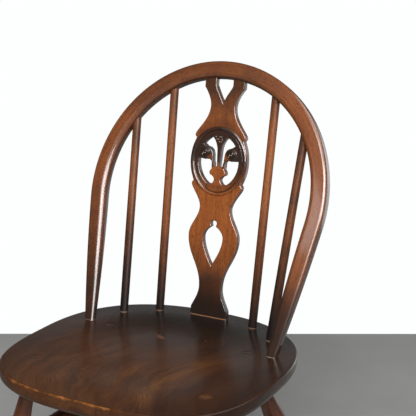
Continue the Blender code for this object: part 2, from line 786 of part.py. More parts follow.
def leg_profile(length):
    """Radii of a leg from above its tenon to below the floor, top to bottom."""
    plank = SEAT_THICKNESS
    profile = [(LEG_TENON_RADIUS, OVERSHOOT), (LEG_TENON_RADIUS, -plank)]
    for station in range(1, PROFILE_STATIONS):
        share = station / (PROFILE_STATIONS - 1)
        radius = LEG_TENON_RADIUS + (LEG_SWELL_RADIUS - LEG_TENON_RADIUS) * ease(share)
        profile.append((radius, -plank - (LEG_SWELL_DROP - plank) * share))
    taper = length - LEG_SWELL_DROP
    for station in range(1, PROFILE_STATIONS):
        share = station / (PROFILE_STATIONS - 1)
        radius = LEG_FOOT_RADIUS + (LEG_SWELL_RADIUS - LEG_FOOT_RADIUS) * (1.0 - share * share)
        profile.append((radius, -LEG_SWELL_DROP - taper * share))
    profile.append((LEG_FOOT_RADIUS, -length - TRIM_REACH))
    return profile


def wedge(name, length, half_width, thick, thin, grow=0.0):
    """A wedge whose thick end is at Z 0 and whose thin end points along -Z."""
    mesh = bpy.data.meshes.new(name)
    work = bmesh.new()
    bmesh.ops.create_cube(work, size=1.0)
    for vert in work.verts:
        upper = vert.co.z > 0.0
        half = 0.5 * (thick if upper else thin) + grow
        reach = OVERSHOOT if upper else -length - grow
        vert.co = (math.copysign(half_width + grow, vert.co.x), math.copysign(half, vert.co.y), reach)
    work.to_mesh(mesh)
    work.free()
    return bpy.data.objects.new(name, mesh)


def make_legs(frame, root, seat, above):
    """Four legs, their wedges, and the holes that take them."""
    floor = block("below_floor", (-FLOOR_REACH, -FLOOR_REACH, -FLOOR_REACH),
                  (FLOOR_REACH, FLOOR_REACH, 0.0), root, Matrix())
    legs = {}
    for row, head, down in leg_rows():
        length = (leg_at(head, down, 0.0) - head).length
        profile = leg_profile(length)
        matrix = aim(head, head - down)
        leg = place(turned("leg_" + row, profile, LEG_STEPS), frame, matrix, PARTS)
        dress(leg, STAIN_LEG)
        boolean(leg, floor)
        boolean(leg, above)
        hole_profile = [(LEG_TENON_RADIUS + FIT, OVERSHOOT)]
        hole_profile.append((LEG_TENON_RADIUS + FIT, -SEAT_THICKNESS - OVERSHOOT))
        hole = turned(f"leg_{row}_hole", hole_profile, LEG_STEPS)
        boolean(seat, as_cutter(place(hole, frame, matrix, CUTTERS)))
        half_width = LEG_TENON_RADIUS - FIT
        sizes = (WEDGE_LENGTH, half_width, WEDGE_THICK, WEDGE_THIN)
        slot = wedge(f"leg_{row}_slot", *sizes, grow=FIT)
        boolean(leg, as_cutter(place(slot, frame, matrix, CUTTERS)))
        key = place(wedge("leg_wedge_" + row, *sizes), frame, matrix, PARTS)
        boolean(dress(key, STAIN_WEDGE), above)
        legs[row] = (leg, head, down)
    return legs


def make_bow_feet(frame, seat, bow):
    """Trims the bow's feet under the seat and wedges them from below."""
    reach = 2.0 * SEAT_HALF_WIDTH
    below = block("below_seat", (-reach, -reach, -SEAT_THICKNESS - TRIM_REACH),
                  (reach, reach, -SEAT_THICKNESS), frame, Matrix())
    boolean(bow, below)
    path = bow_path()
    plane = bow_matrix()
    for side, end in (("right", path[:2]), ("left", path[:-3:-1])):
        tip = plane @ Vector((*end[0], 0.0))
        heel = plane @ Vector((*end[1], 0.0))
        share = (heel.z + SEAT_THICKNESS) / (heel.z - tip.z)
        foot = heel.lerp(tip, share)
        z_axis = (tip - heel).normalized()
        y_axis = z_axis.cross(plane.col[2].xyz).normalized()
        x_axis = y_axis.cross(z_axis)
        matrix = Matrix((x_axis, y_axis, z_axis)).transposed().to_4x4()
        matrix.translation = foot
        half_width = 0.5 * BOW_SECTION_DEPTH * BOW_TENON_SCALE - FIT
        sizes = (BOW_WEDGE_LENGTH, half_width, BOW_WEDGE_THICK, BOW_WEDGE_THIN)
        slot = wedge(f"bow_{side}_slot", *sizes, grow=FIT)
        boolean(bow, as_cutter(place(slot, frame, matrix, CUTTERS)))
        key = place(wedge("bow_wedge_" + side, *sizes), frame, matrix, PARTS)
        boolean(dress(key, STAIN_WEDGE), below)
    hole = bow_sweep("bow_holes", frame, CUTTERS, FIT / BOW_TENON_SCALE)
    boolean(seat, as_cutter(hole))


def stretcher(name, start, end, end_radius, swell_radius, frame):
    """A swelling turned rail between two points, and the solid that cuts its sockets."""
    middle = (start + end) * 0.5
    half = 0.5 * (end - start).length
    profile = []
    for station in range(PROFILE_STATIONS + 2):
        share = 1.0 - 2.0 * station / (PROFILE_STATIONS + 1)
        radius = end_radius + (swell_radius - end_radius) * (1.0 - share * share)
        profile.append((radius, half * share))
    matrix = aim(middle, end)
    rail = place(turned(name, profile, STRETCHER_STEPS), frame, matrix, PARTS)
    socket = turned(name + "_socket", grown(profile, FIT), STRETCHER_STEPS)
    as_cutter(place(socket, frame, matrix, CUTTERS))
    return dress(rail, STAIN_LEG), socket


def make_stretchers(frame, legs):
    """Side rails between the legs and a cross rail between the side rails."""
    rails = {}
    for side in ("left", "right"):
        ends = []
        for pair in ("front", "rear"):
            leg, head, down = legs[f"{pair}_{side}"]
            ends.append((leg, leg_at(head, down, STRETCHER_HEIGHT)))
        rail, socket = stretcher("side_stretcher_" + side, ends[0][1], ends[1][1],
                                 STRETCHER_END_RADIUS, STRETCHER_SWELL_RADIUS, frame)
        for leg, _ in ends:
            boolean(leg, socket)
        rails[side] = (rail, (ends[0][1] + ends[1][1]) * 0.5)
    cross, socket = stretcher("cross_stretcher", rails["left"][1], rails["right"][1],
                              CROSS_END_RADIUS, CROSS_SWELL_RADIUS, frame)
    for rail, _ in rails.values():
        boolean(rail, socket)
    return cross


def centre(root):
    """Moves the root so that the chair's box is centred over the origin."""
    bpy.context.view_layer.update()
    graph = bpy.context.evaluated_depsgraph_get()
    reach = []
    for item in bpy.data.collections[PARTS].objects:
        if item.type == "MESH":
            shown = item.evaluated_get(graph)
            reach += [(shown.matrix_world @ vert.co).y for vert in shown.data.vertices]
    root.location.y = -0.5 * (min(reach) + max(reach))
    bpy.context.view_layer.update()


def main():
    clear_scene()
    new_collection(PARTS)
    new_collection(CUTTERS)
    root = new_empty("chair")
    frame = new_empty("seat_frame", root)
    tilt = Matrix.Rotation(-SEAT_SLOPE, 4, "X")
    frame.matrix_basis = Matrix.Translation((0.0, 0.0, seat_lift())) @ tilt
    seat = make_seat(frame)
    above = make_top_trim(frame)
    bow = dress(bow_sweep("bow", frame, PARTS), STAIN_BACK)
    make_bow_feet(frame, seat, bow)
    make_spindles(frame, seat, bow)
    make_splat(frame, seat, bow)
    legs = make_legs(frame, root, seat, above)
    make_stretchers(frame, legs)
    centre(root)


main()
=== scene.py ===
"""Looks of a hoop-back dining chair with a pierced thistle splat.

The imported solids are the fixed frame. Each sub-assembly below models its visible pieces in the same places
and at the same sizes, with finer curves, carving and a lacquered wood finish. The wedges keep their solids.
The studio adds floor, light and camera.
"""
import json
import logging
import math
from dataclasses import dataclass, replace
from enum import Enum
from typing import Any, Optional, Sequence

import bmesh
import bpy
import numpy as np
from mathutils import Matrix, Vector


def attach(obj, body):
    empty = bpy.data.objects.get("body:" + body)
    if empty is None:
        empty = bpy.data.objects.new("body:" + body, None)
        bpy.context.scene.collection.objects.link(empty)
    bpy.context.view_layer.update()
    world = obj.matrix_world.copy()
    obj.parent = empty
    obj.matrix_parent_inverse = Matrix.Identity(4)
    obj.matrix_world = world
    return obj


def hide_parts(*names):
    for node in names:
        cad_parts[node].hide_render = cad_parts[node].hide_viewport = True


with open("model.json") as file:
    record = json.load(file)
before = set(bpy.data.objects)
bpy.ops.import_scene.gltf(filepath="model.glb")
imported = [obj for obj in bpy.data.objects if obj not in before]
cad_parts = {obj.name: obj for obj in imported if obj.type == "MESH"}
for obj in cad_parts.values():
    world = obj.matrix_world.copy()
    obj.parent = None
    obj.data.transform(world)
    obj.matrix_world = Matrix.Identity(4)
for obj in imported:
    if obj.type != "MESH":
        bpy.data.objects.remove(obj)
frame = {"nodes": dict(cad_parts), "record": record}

LOG = logging.getLogger("chair")
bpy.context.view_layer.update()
BODY = "root"
UP = Vector((0.0, 0.0, 1.0))
ACROSS = Vector((1.0, 0.0, 0.0))
WELD = 0.00001
HARD_EDGE = math.radians(38.0)
NOISE_RANGE = (0.2, 0.8)

Piece = bpy.types.Object
Socket = bpy.types.NodeSocket
Spot = tuple[float, float]
Span = tuple[float, float]
Triple = tuple[float, float, float]
Colour = Triple
Profile = list[Spot]
Stop = tuple[float, float, Spot, Spot]


class Slot(Enum):
    """Material slots of the record."""

    SEAT = "seat_wood"
    BOW = "bow_wood"
    SPINDLE = "spindle_wood"
    SPLAT = "splat_wood"
    LEG = "leg_wood"
    STRETCHER = "stretcher_wood"


class Side(Enum):
    """The two halves of the chair, seen from the front, with their sign on X."""

    LEFT = -1.0
    RIGHT = 1.0


class Cut(Enum):
    """What a tool does to a piece."""

    TAKE = "DIFFERENCE"
    ADD = "UNION"


class Ramp(Enum):
    """How a value runs between the ends of a range."""

    STRAIGHT = "LINEAR"
    SMOOTH = "SMOOTHSTEP"


def ease(share: np.ndarray) -> np.ndarray:
    """A smooth step from 0 to 1, for numbers or arrays."""
    share = np.clip(share, 0.0, 1.0)
    return share * share * (3.0 - 2.0 * share)


@dataclass(frozen=True)
class Fade:
    """A share that grows smoothly to its most, from a start over a run, which may be negative."""

    most: float
    start: float
    run: float

    def at(self, values: np.ndarray) -> np.ndarray:
        """Gives the share at each value."""
        return self.most * ease((values - self.start) / self.run)


def dark_foot(height: np.ndarray, reach: float, power: float) -> np.ndarray:
    """Gives a share that falls from 1 at a foot to 0 at its reach, first slowly and then fast."""
    return 1.0 - np.clip(height / reach, 0.0, 1.0) ** power


def frame_at(origin: Vector, x_axis: Vector, y_axis: Vector, z_axis: Vector) -> Matrix:
    """Makes the matrix of a local frame.

    Args:
        origin: Where the frame sits.
        x_axis: Its X axis, of length 1 as the others are.
        y_axis: Its Y axis.
        z_axis: Its Z axis.

    Returns:
        The matrix that takes points of the frame to the room.
    """
    matrix = Matrix((x_axis, y_axis, z_axis)).transposed().to_4x4()
    matrix.translation = origin
    return matrix


def aim(start: Vector, end: Vector) -> Matrix:
    """Finds the frame at start whose Z points at end and whose X stays near the room's X.

    Args:
        start: Origin of the frame.
        end: Point that its Z axis runs to.

    Returns:
        The frame's matrix.
    """
    z_axis = (end - start).normalized()
    y_axis = z_axis.cross(ACROSS)
    nearly_across = y_axis.length < 0.5
    if nearly_across:
        y_axis = z_axis.cross(Vector((0.0, 1.0, 0.0)))
    y_axis.normalize()
    return frame_at(start, y_axis.cross(z_axis), y_axis, z_axis)


def rows_of(piece: Piece, key: str) -> np.ndarray:
    """Reads a vector of each vertex of a piece.

    Args:
        piece: The piece.
        key: Name of the vector, co for the place or normal.

    Returns:
        Rows of X, Y and Z.
    """
    flat = np.empty(3 * len(piece.data.vertices), np.float32)
    piece.data.vertices.foreach_get(key, flat)
    return flat.reshape(-1, 3).astype(float)


def points_of(piece: Piece) -> np.ndarray:
    """Reads the points of a piece as rows of X, Y and Z."""
    return rows_of(piece, "co")


def facing(piece: Piece, way: Sequence[float]) -> np.ndarray:
    """Gives how far the surface faces a way at each point, from -1 to 1."""
    return rows_of(piece, "normal") @ np.array(way)


def local(points: np.ndarray, matrix: Matrix) -> np.ndarray:
    """Turns points of the room into points of a local frame."""
    inverse = np.array(matrix.inverted())
    return points @ inverse[:3, :3].T + inverse[:3, 3]


def node_points(node: str) -> np.ndarray:
    """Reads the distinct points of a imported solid."""
    return np.unique(points_of(frame["nodes"][node]).round(6), axis=0)


def axis_of(node: str) -> tuple[Vector, Vector]:
    """Finds the two end centres of a turned solid, the lower one first.

    Args:
        node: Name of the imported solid.

    Returns:
        The centres of its two flat ends.
    """
    points = node_points(node)
    middle = points.mean(axis=0)
    along = np.linalg.svd(points - middle, full_matrices=False)[2][0]
    reach = (points - middle) @ along
    slack = 0.0004
    ends = [Vector(points[reach < reach.min() + slack].mean(axis=0)),
            Vector(points[reach > reach.max() - slack].mean(axis=0))]
    return (ends[0], ends[1]) if ends[0].z <= ends[1].z else (ends[1], ends[0])


class Bench:
    """The modelling bench: operators that act on one piece at a time."""

    @staticmethod
    def clear() -> None:
        """Leaves edit mode and deselects everything."""
        if bpy.context.object and bpy.context.object.mode != "OBJECT":
            bpy.ops.object.mode_set(mode="OBJECT")
        bpy.ops.object.select_all(action="DESELECT")

    @staticmethod
    def take(piece: Piece) -> None:
        """Selects one piece alone and makes it active.

        Args:
            piece: The piece.
        """
        Bench.clear()
        piece.select_set(True)
        bpy.context.view_layer.objects.active = piece

    @staticmethod
    def edit(piece: Piece) -> None:
        """Opens one piece in edit mode, with all of it selected.

        Args:
            piece: The piece.
        """
        Bench.take(piece)
        bpy.ops.object.mode_set(mode="EDIT")
        bpy.ops.mesh.select_all(action="SELECT")

    @staticmethod
    def close() -> None:
        """Merges doubles, turns the faces outwards and leaves edit mode."""
        bpy.ops.mesh.select_all(action="SELECT")
        bpy.ops.mesh.remove_doubles(threshold=WELD)
        bpy.ops.mesh.normals_make_consistent(inside=False)
        bpy.ops.object.mode_set(mode="OBJECT")

    @staticmethod
    def named(name: str) -> Piece:
        """Names the object that was just added, and its data.

        Args:
            name: The name.

        Returns:
            The object.
        """
        piece = bpy.context.object
        piece.name = name
        piece.data.name = name
        return piece

    @staticmethod
    def turn(name: str, profile: Profile, sides: int = 48) -> Piece:
        """Turns a solid about Z, as on a lathe.

        Args:
            name: Name of the new piece.
            profile: Pairs of radius and height, from the bottom to the top.
            sides: Steps of the turning.

        Returns:
            The closed solid, with its axis on Z.
        """
        Bench.clear()
        outline = [(0.0, profile[0][1]), *profile, (0.0, profile[-1][1])]
        bpy.ops.mesh.primitive_plane_add(size=0.01)
        piece = Bench.named(name)
        Bench.edit(piece)
        bpy.ops.mesh.merge(type="CENTER")
        bpy.ops.transform.translate(value=(outline[0][0], 0.0, outline[0][1]))
        for (radius, height), (next_radius, next_height) in zip(outline, outline[1:]):
            step = (next_radius - radius, 0.0, next_height - height)
            bpy.ops.mesh.extrude_region_move(TRANSFORM_OT_translate={"value": step})
        bpy.ops.mesh.select_all(action="SELECT")
        bpy.ops.mesh.spin(steps=sides, angle=math.tau, center=(0.0, 0.0, 0.0), axis=UP)
        Bench.close()
        return piece

    @staticmethod
    def place(piece: Piece, matrix: Matrix) -> Piece:
        """Moves a piece's mesh to a place in the room and leaves its object at the origin.

        Args:
            piece: The piece.
            matrix: Where its mesh goes.

        Returns:
            The same piece.
        """
        Bench.take(piece)
        piece.matrix_world = matrix
        bpy.ops.object.transform_apply(location=True, rotation=True, scale=True)
        return piece

    @staticmethod
    def trim(piece: Piece, spot: Vector, normal: Vector) -> None:
        """Cuts away what lies beyond a plane and fills the cut.

        Args:
            piece: The closed piece.
            spot: A point of the plane.
            normal: The side that is cut away.
        """
        Bench.edit(piece)
        bpy.ops.mesh.bisect(plane_co=spot, plane_no=normal, use_fill=True, clear_outer=True)
        Bench.close()

    @staticmethod
    def apply(piece: Piece, name: str, kind: str, **settings: Any) -> None:
        """Adds a modifier to a piece and applies it.

        Args:
            piece: The piece.
            name: Name of the modifier.
            kind: Type of the modifier.
            settings: Its properties.
        """
        Bench.take(piece)
        modifier = piece.modifiers.new(name, kind)
        for key, value in settings.items():
            setattr(modifier, key, value)
        bpy.ops.object.modifier_apply(modifier=modifier.name)

    @staticmethod
    def cut(piece: Piece, tool: Piece, how: Cut = Cut.TAKE) -> None:
        """Cuts a piece with a tool or joins the tool to it, and uses the tool up."""
        Bench.apply(piece, tool.name, "BOOLEAN", operation=how.value, solver="EXACT", object=tool)
        bpy.data.objects.remove(tool, do_unlink=True)

    @staticmethod
    def even(piece: Piece) -> None:
        """Lets large flat faces rule the shading of their corners."""
        Bench.apply(piece, "even", "WEIGHTED_NORMAL", mode="FACE_AREA", weight=100, keep_sharp=True)

    @staticmethod
    def smooth(piece: Piece, angle: float = HARD_EDGE) -> None:
        """Shades a piece smooth, with its hard edges kept."""
        Bench.take(piece)
        bpy.ops.object.shade_smooth_by_angle(angle=angle)

    @staticmethod
    def to_mesh(curve: Piece) -> Piece:
        """Turns a curve into a welded mesh with its faces outwards.

        Args:
            curve: The curve object, which becomes the mesh.

        Returns:
            The mesh object.
        """
        name = curve.name
        Bench.take(curve)
        bpy.ops.object.convert(target="MESH")
        piece = Bench.named(name)
        Bench.edit(piece)
        Bench.close()
        return piece

    @staticmethod
    def copy_node(node: str, name: str, swell: float) -> Piece:
        """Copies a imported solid, welds the copy and swells it by a clearance.

        Args:
            node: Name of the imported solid.
            name: Name of the copy.
            swell: How far its faces move out.

        Returns:
            The copy.
        """
        copy = bpy.data.objects.new(name, frame["nodes"][node].data.copy())
        bpy.context.scene.collection.objects.link(copy)
        Bench.edit(copy)
        Bench.close()
        Bench.edit(copy)
        bpy.ops.transform.shrink_fatten(value=swell)
        bpy.ops.object.mode_set(mode="OBJECT")
        return copy

    @staticmethod
    def joined(pieces: Sequence[Piece], name: str) -> Piece:
        """Joins pieces into one object.

        Args:
            pieces: The pieces, which don't touch.
            name: Name of the whole.

        Returns:
            The one object.
        """
        Bench.take(pieces[0])
        for piece in pieces:
            piece.select_set(True)
        bpy.ops.object.join()
        return Bench.named(name)

    @staticmethod
    def draw(name: str, lines: Sequence[Sequence[Spot]], closed: bool,
             scales: Sequence[float] = ()) -> Piece:
        """Draws a flat curve of straight stretches.

        Args:
            name: Name of the curve.
            lines: The points of each of its lines.
            closed: Whether the lines come back to their start.
            scales: Size of a swept section at each point, where it isn't 1.

        Returns:
            The curve object.
        """
        Bench.clear()
        bpy.ops.curve.primitive_bezier_circle_add(radius=1.0)
        curve = Bench.named(name)
        curve.data.splines.clear()
        for spots in lines:
            line = curve.data.splines.new("POLY")
            line.points.add(len(spots) - 1)
            for index, (point, (x, y)) in enumerate(zip(line.points, spots)):
                point.co = (x, y, 0.0, 1.0)
                point.radius = scales[index] if scales else 1.0
            line.use_cyclic_u = closed
        return curve


def mark(piece: Piece, grain: np.ndarray, shade: np.ndarray, wear: np.ndarray,
         spot: Optional[np.ndarray] = None) -> None:
    """Writes what a finish reads onto a piece: grain places, darkening and wear.

    Args:
        piece: The finished mesh.
        grain: For each point its place along and across the grain, in metres.
        shade: For each point how far the colour darkens, by stain and by painted shade, or how golden the
            figure is, from 0 to 1.
        wear: For each point how far the finish is worn through, from 0 to 1, or more where a glint is painted
            as a highlight.
        spot: For each point its place on the seat, in metres.
    """
    rows = [("grain", "FLOAT_VECTOR", "vector", grain), ("shade", "FLOAT", "value", shade),
            ("wear", "FLOAT", "value", wear)]
    if spot is not None:
        rows.append(("spot", "FLOAT_VECTOR", "vector", spot))
    for name, kind, key, values in rows:
        attribute = piece.data.attributes.new(name, kind, "POINT")
        attribute.data.foreach_set(key, np.ascontiguousarray(values, np.float32).ravel())


def hand_over(piece: Piece, material: bpy.types.Material, node: str) -> None:
    """Dresses a finished piece and hands it to the frame.

    Args:
        piece: The finished mesh.
        material: Its finish.
        node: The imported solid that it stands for.
    """
    piece.data.materials.clear()
    piece.data.materials.append(material)
    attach(piece, BODY)
    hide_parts(node)


def repaint(node: str, material: bpy.types.Material) -> Piece:
    """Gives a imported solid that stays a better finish.

    Args:
        node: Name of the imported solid.
        material: Its finish.

    Returns:
        The solid's object.
    """
    piece = frame["nodes"][node]
    for slot in piece.material_slots:
        slot.link = "OBJECT"
        slot.material = material
    return piece


class NodeSheet:
    """The nodes of a material or of the world, with short ways to add and join them."""

    def __init__(self, tree: bpy.types.NodeTree) -> None:
        """Works on a tree that already exists."""
        self.tree = tree

    def put(self, socket: Socket, value: Any) -> None:
        """Sets a socket to a value, or joins another socket to it.

        Args:
            socket: The input.
            value: A number, a vector, a colour or an output.
        """
        if isinstance(value, Socket):
            self.tree.links.new(value, socket)
        elif isinstance(value, tuple) and len(value) == 3 and socket.type == "RGBA":
            socket.default_value = (*value, 1.0)
        else:
            socket.default_value = value

    def node(self, kind: str, inputs: dict[Any, Any], **settings: Any) -> bpy.types.Node:
        """Adds a node.

        Args:
            kind: Type of the node.
            inputs: Values or sockets by the name or number of the input.
            settings: Other properties of the node.

        Returns:
            The node.
        """
        node = self.tree.nodes.new(kind)
        for key, value in settings.items():
            setattr(node, key, value)
        for key, value in inputs.items():
            self.put(node.inputs[key], value)
        return node

    def attribute(self, name: str, output: str) -> Socket:
        """Reads an attribute of the piece."""
        return self.node("ShaderNodeAttribute", {}, attribute_name=name).outputs[output]

    def object_place(self) -> Socket:
        """Reads the place in the piece's own coordinates."""
        return self.node("ShaderNodeTexCoord", {}).outputs["Object"]

    def vector(self, how: str, first: Any, second: Any) -> Socket:
        """Adds or subtracts places."""
        return self.node("ShaderNodeVectorMath", {0: first, 1: second}, operation=how).outputs["Vector"]

    def scaled(self, place: Socket, scale: Triple) -> Socket:
        """Stretches a place."""
        return self.node("ShaderNodeMapping", {"Vector": place, "Scale": scale}).outputs["Vector"]

    def noise(self, place: Socket, scale: float, detail: float = 3.0, rough: float = 0.55,
              warp: float = 0.0) -> Socket:
        """Adds a noise from 0 to 1."""
        inputs = {"Vector": place, "Scale": scale, "Detail": detail, "Roughness": rough, "Distortion": warp}
        return self.node("ShaderNodeTexNoise", inputs).outputs["Fac"]

    def math(self, how: str, first: Any, second: Any = 0.0, third: Any = 0.0) -> Socket:
        """Adds a sum between numbers."""
        return self.node("ShaderNodeMath", {0: first, 1: second, 2: third}, operation=how).outputs[0]

    def times(self, first: Any, second: Any) -> Socket:
        """Multiplies two numbers."""
        return self.math("MULTIPLY", first, second)

    def greater(self, first: Any, second: Any) -> Socket:
        """Takes the greater of two numbers."""
        return self.math("MAXIMUM", first, second)

    def span(self, value: Any, source: Span, low: float = 0.0, high: float = 1.0,
             ramp: Ramp = Ramp.SMOOTH) -> Socket:
        """Maps a range of a value onto a range from low to high, clamped."""
        inputs = {"Value": value, "From Min": source[0], "From Max": source[1], "To Min": low, "To Max": high}
        return self.node("ShaderNodeMapRange", inputs, interpolation_type=ramp.value).outputs["Result"]

    def sway(self, noise: Socket, reach: float) -> Socket:
        """Spreads a noise evenly to both sides of 0."""
        return self.span(noise, NOISE_RANGE, -reach, reach, Ramp.STRAIGHT)

    def mix(self, share: Any, first: Any, second: Any) -> Socket:
        """Mixes two colours.

        Args:
            share: Share of the second colour.
            first: The first colour.
            second: The second colour.

        Returns:
            The mixed colour.
        """
        node = self.node("ShaderNodeMix", {}, data_type="RGBA")
        for key, value in (("Factor", share), (6, first), (7, second)):
            self.put(node.inputs[key], value)
        return node.outputs[2]

    def bump(self, height: Any, depth: float, strength: float) -> Socket:
        """Raises the surface by a height."""
        inputs = {"Height": height, "Distance": depth, "Strength": strength}
        return self.node("ShaderNodeBump", inputs).outputs["Normal"]


class FinishSheet(NodeSheet):
    """The nodes of one finish, round a Principled shader."""

    def __init__(self, name: str) -> None:
        """Starts a material.

        Args:
            name: Name of the material.
        """
        self.material = bpy.data.materials.new(name)
        self.material.use_nodes = True
        super().__init__(self.material.node_tree)

    def finish(self, **values: Any) -> bpy.types.Material:
        """Joins the pattern to the shader.

        Args:
            values: Values or sockets by the shader's inputs, with spaces as underscores.

        Returns:
            The material.
        """
        shader = self.tree.nodes["Principled BSDF"]
        for key, value in values.items():
            self.put(shader.inputs[key.replace("_", " ")], value)
        return self.material


@dataclass(frozen=True)
class StainedWood:
    """A close-grained wood under red-brown stain and lacquer.

    Lengths of the figure are in metres: along is the length of a streak and across its width. A range is the
    part of a noise, or of the wear, over which a look sets in. A piece that is not marked with grain places
    takes them from its own coordinates.
    """

    name: str
    deep: Colour
    body: Colour
    glow: Colour
    dusk: Colour
    bare: Colour
    # glint: painted highlight colour, laid where the wear passes glint_range
    glint: Colour = (0.42, 0.36, 0.32)
    along: float = 0.16
    across: float = 0.005
    streak_detail: float = 5.0
    streak_warp: float = 0.3
    body_range: Span = (0.30, 0.56)
    glow_range: Span = (0.48, 0.76)
    glow_most: float = 0.85
    wander_scale: float = 14.0
    wander: Span = (0.004, -0.003)
    fleck_long: float = 0.0060
    fleck_wide: float = 0.0026
    fleck_range: Span = (0.52, 0.66)
    fleck_depth: float = 0.36
    cloud_scale: float = 24.0
    cloud_range: Span = (0.35, 0.75)
    cloud_most: float = 0.38
    rub_scale: float = 300.0
    rub_reach: float = 0.4
    bare_range: Span = (0.55, 0.80)
    glint_range: Span = (1.2, 1.6)
    rough: float = 0.34
    rough_spread: float = 0.10
    rough_range: Span = (0.25, 0.75)
    streak_relief: float = 0.4
    relief: float = 0.00005
    relief_strength: float = 0.2
    specular: float = 0.25
    coat: float = 0.9
    coat_rough: float = 0.05
    marked: bool = True

    def place(self, sheet: NodeSheet) -> Socket:
        """Gives each point's place in the grain, with the grain's slow wander.

        Args:
            sheet: The finish's nodes.

        Returns:
            The place.
        """
        grain = sheet.attribute("grain", "Vector") if self.marked else sheet.object_place()
        wander = sheet.noise(grain, self.wander_scale, detail=2.0)
        offset = {axis: sheet.sway(wander, reach) for axis, reach in zip("YZ", self.wander)}
        return sheet.vector("ADD", grain, sheet.node("ShaderNodeCombineXYZ", offset).outputs["Vector"])

    def stretched(self, sheet: NodeSheet, place: Socket, along: float, across: float,
                  detail: float) -> Socket:
        """Adds a noise drawn out along the grain, from 0 to 1."""
        drawn = sheet.scaled(place, (1.0 / along, 1.0 / across, 1.0 / across))
        return sheet.noise(drawn, 1.0, detail, rough=0.6, warp=self.streak_warp)

    def darkened(self, sheet: NodeSheet, cloud: Socket) -> Socket:
        """Gives how dark the stain and the painted shade make the colour, uneven where it is neither light
        nor dark.

        Args:
            sheet: The finish's nodes.
            cloud: The noise that makes it uneven.

        Returns:
            A share from 0 to 1.
        """
        shade = sheet.attribute("shade", "Fac")
        loose = sheet.times(shade, sheet.math("SUBTRACT", 1.0, shade))
        uneven = sheet.times(loose, sheet.sway(cloud, 1.0))
        return sheet.node("ShaderNodeMath", {0: shade, 1: uneven}, operation="ADD", use_clamp=True).outputs[0]

    def material(self) -> bpy.types.Material:
        """Makes the finish as one material.

        Returns:
            The material.
        """
        sheet = FinishSheet(self.name)
        place = self.place(sheet)
        streak = self.stretched(sheet, place, self.along, self.across, self.streak_detail)
        fleck = self.stretched(sheet, place, self.fleck_long, self.fleck_wide, detail=2.0)
        fleck = sheet.span(fleck, self.fleck_range)
        cloud = sheet.noise(place, self.cloud_scale, detail=3.0, rough=0.6)
        colour = sheet.mix(sheet.span(streak, self.body_range), self.deep, self.body)
        colour = sheet.mix(sheet.span(streak, self.glow_range, 0.0, self.glow_most), colour, self.glow)
        colour = sheet.mix(sheet.span(cloud, self.cloud_range, 0.0, self.cloud_most), colour, self.deep)
        colour = sheet.mix(sheet.times(fleck, self.fleck_depth), colour, self.dusk)
        # the shade attribute mixes in the dusk colour; on the bow, spindles and splat part of it is painted
        # shade
        colour = sheet.mix(self.darkened(sheet, cloud), colour, self.dusk)
        wear = sheet.attribute("wear", "Fac")
        rub = sheet.noise(place, self.rub_scale, detail=4.0, rough=0.7)
        rub = sheet.span(rub, (0.0, 1.0), -self.rub_reach, self.rub_reach, Ramp.STRAIGHT)
        colour = sheet.mix(sheet.span(sheet.math("ADD", wear, rub), self.bare_range), colour, self.bare)
        # painted highlight: mixes in the glint colour where the wear passes glint_range
        colour = sheet.mix(sheet.span(wear, self.glint_range), colour, self.glint)
        height = sheet.math("SUBTRACT", sheet.times(streak, self.streak_relief), fleck)
        return sheet.finish(
            Base_Color=colour,
            Roughness=sheet.span(cloud, self.rough_range, self.rough, self.rough + self.rough_spread),
            Normal=sheet.bump(height, self.relief, self.relief_strength),
            Specular_IOR_Level=self.specular,
            Coat_Weight=self.coat,
            Coat_Roughness=self.coat_rough)


@dataclass(frozen=True)
class SeatFrame:
    """The seat's own frame in the room: X across, Y to the back and Z square to the plank."""

    slope: float = math.radians(2.5)
    lift: float = 0.430578
    shift: float = -0.025403
    thickness: float = 0.034

    def matrix(self) -> Matrix:
        """Gives the frame as a matrix of the room."""
        return Matrix.Translation((0.0, self.shift, self.lift)) @ Matrix.Rotation(-self.slope, 4, "X")


@dataclass(frozen=True)
class Scuff:
    """A worn patch on the seat: its middle, its half length and half width, and its turn."""

    x: float
    y: float
    length: float
    width: float
    turn: float


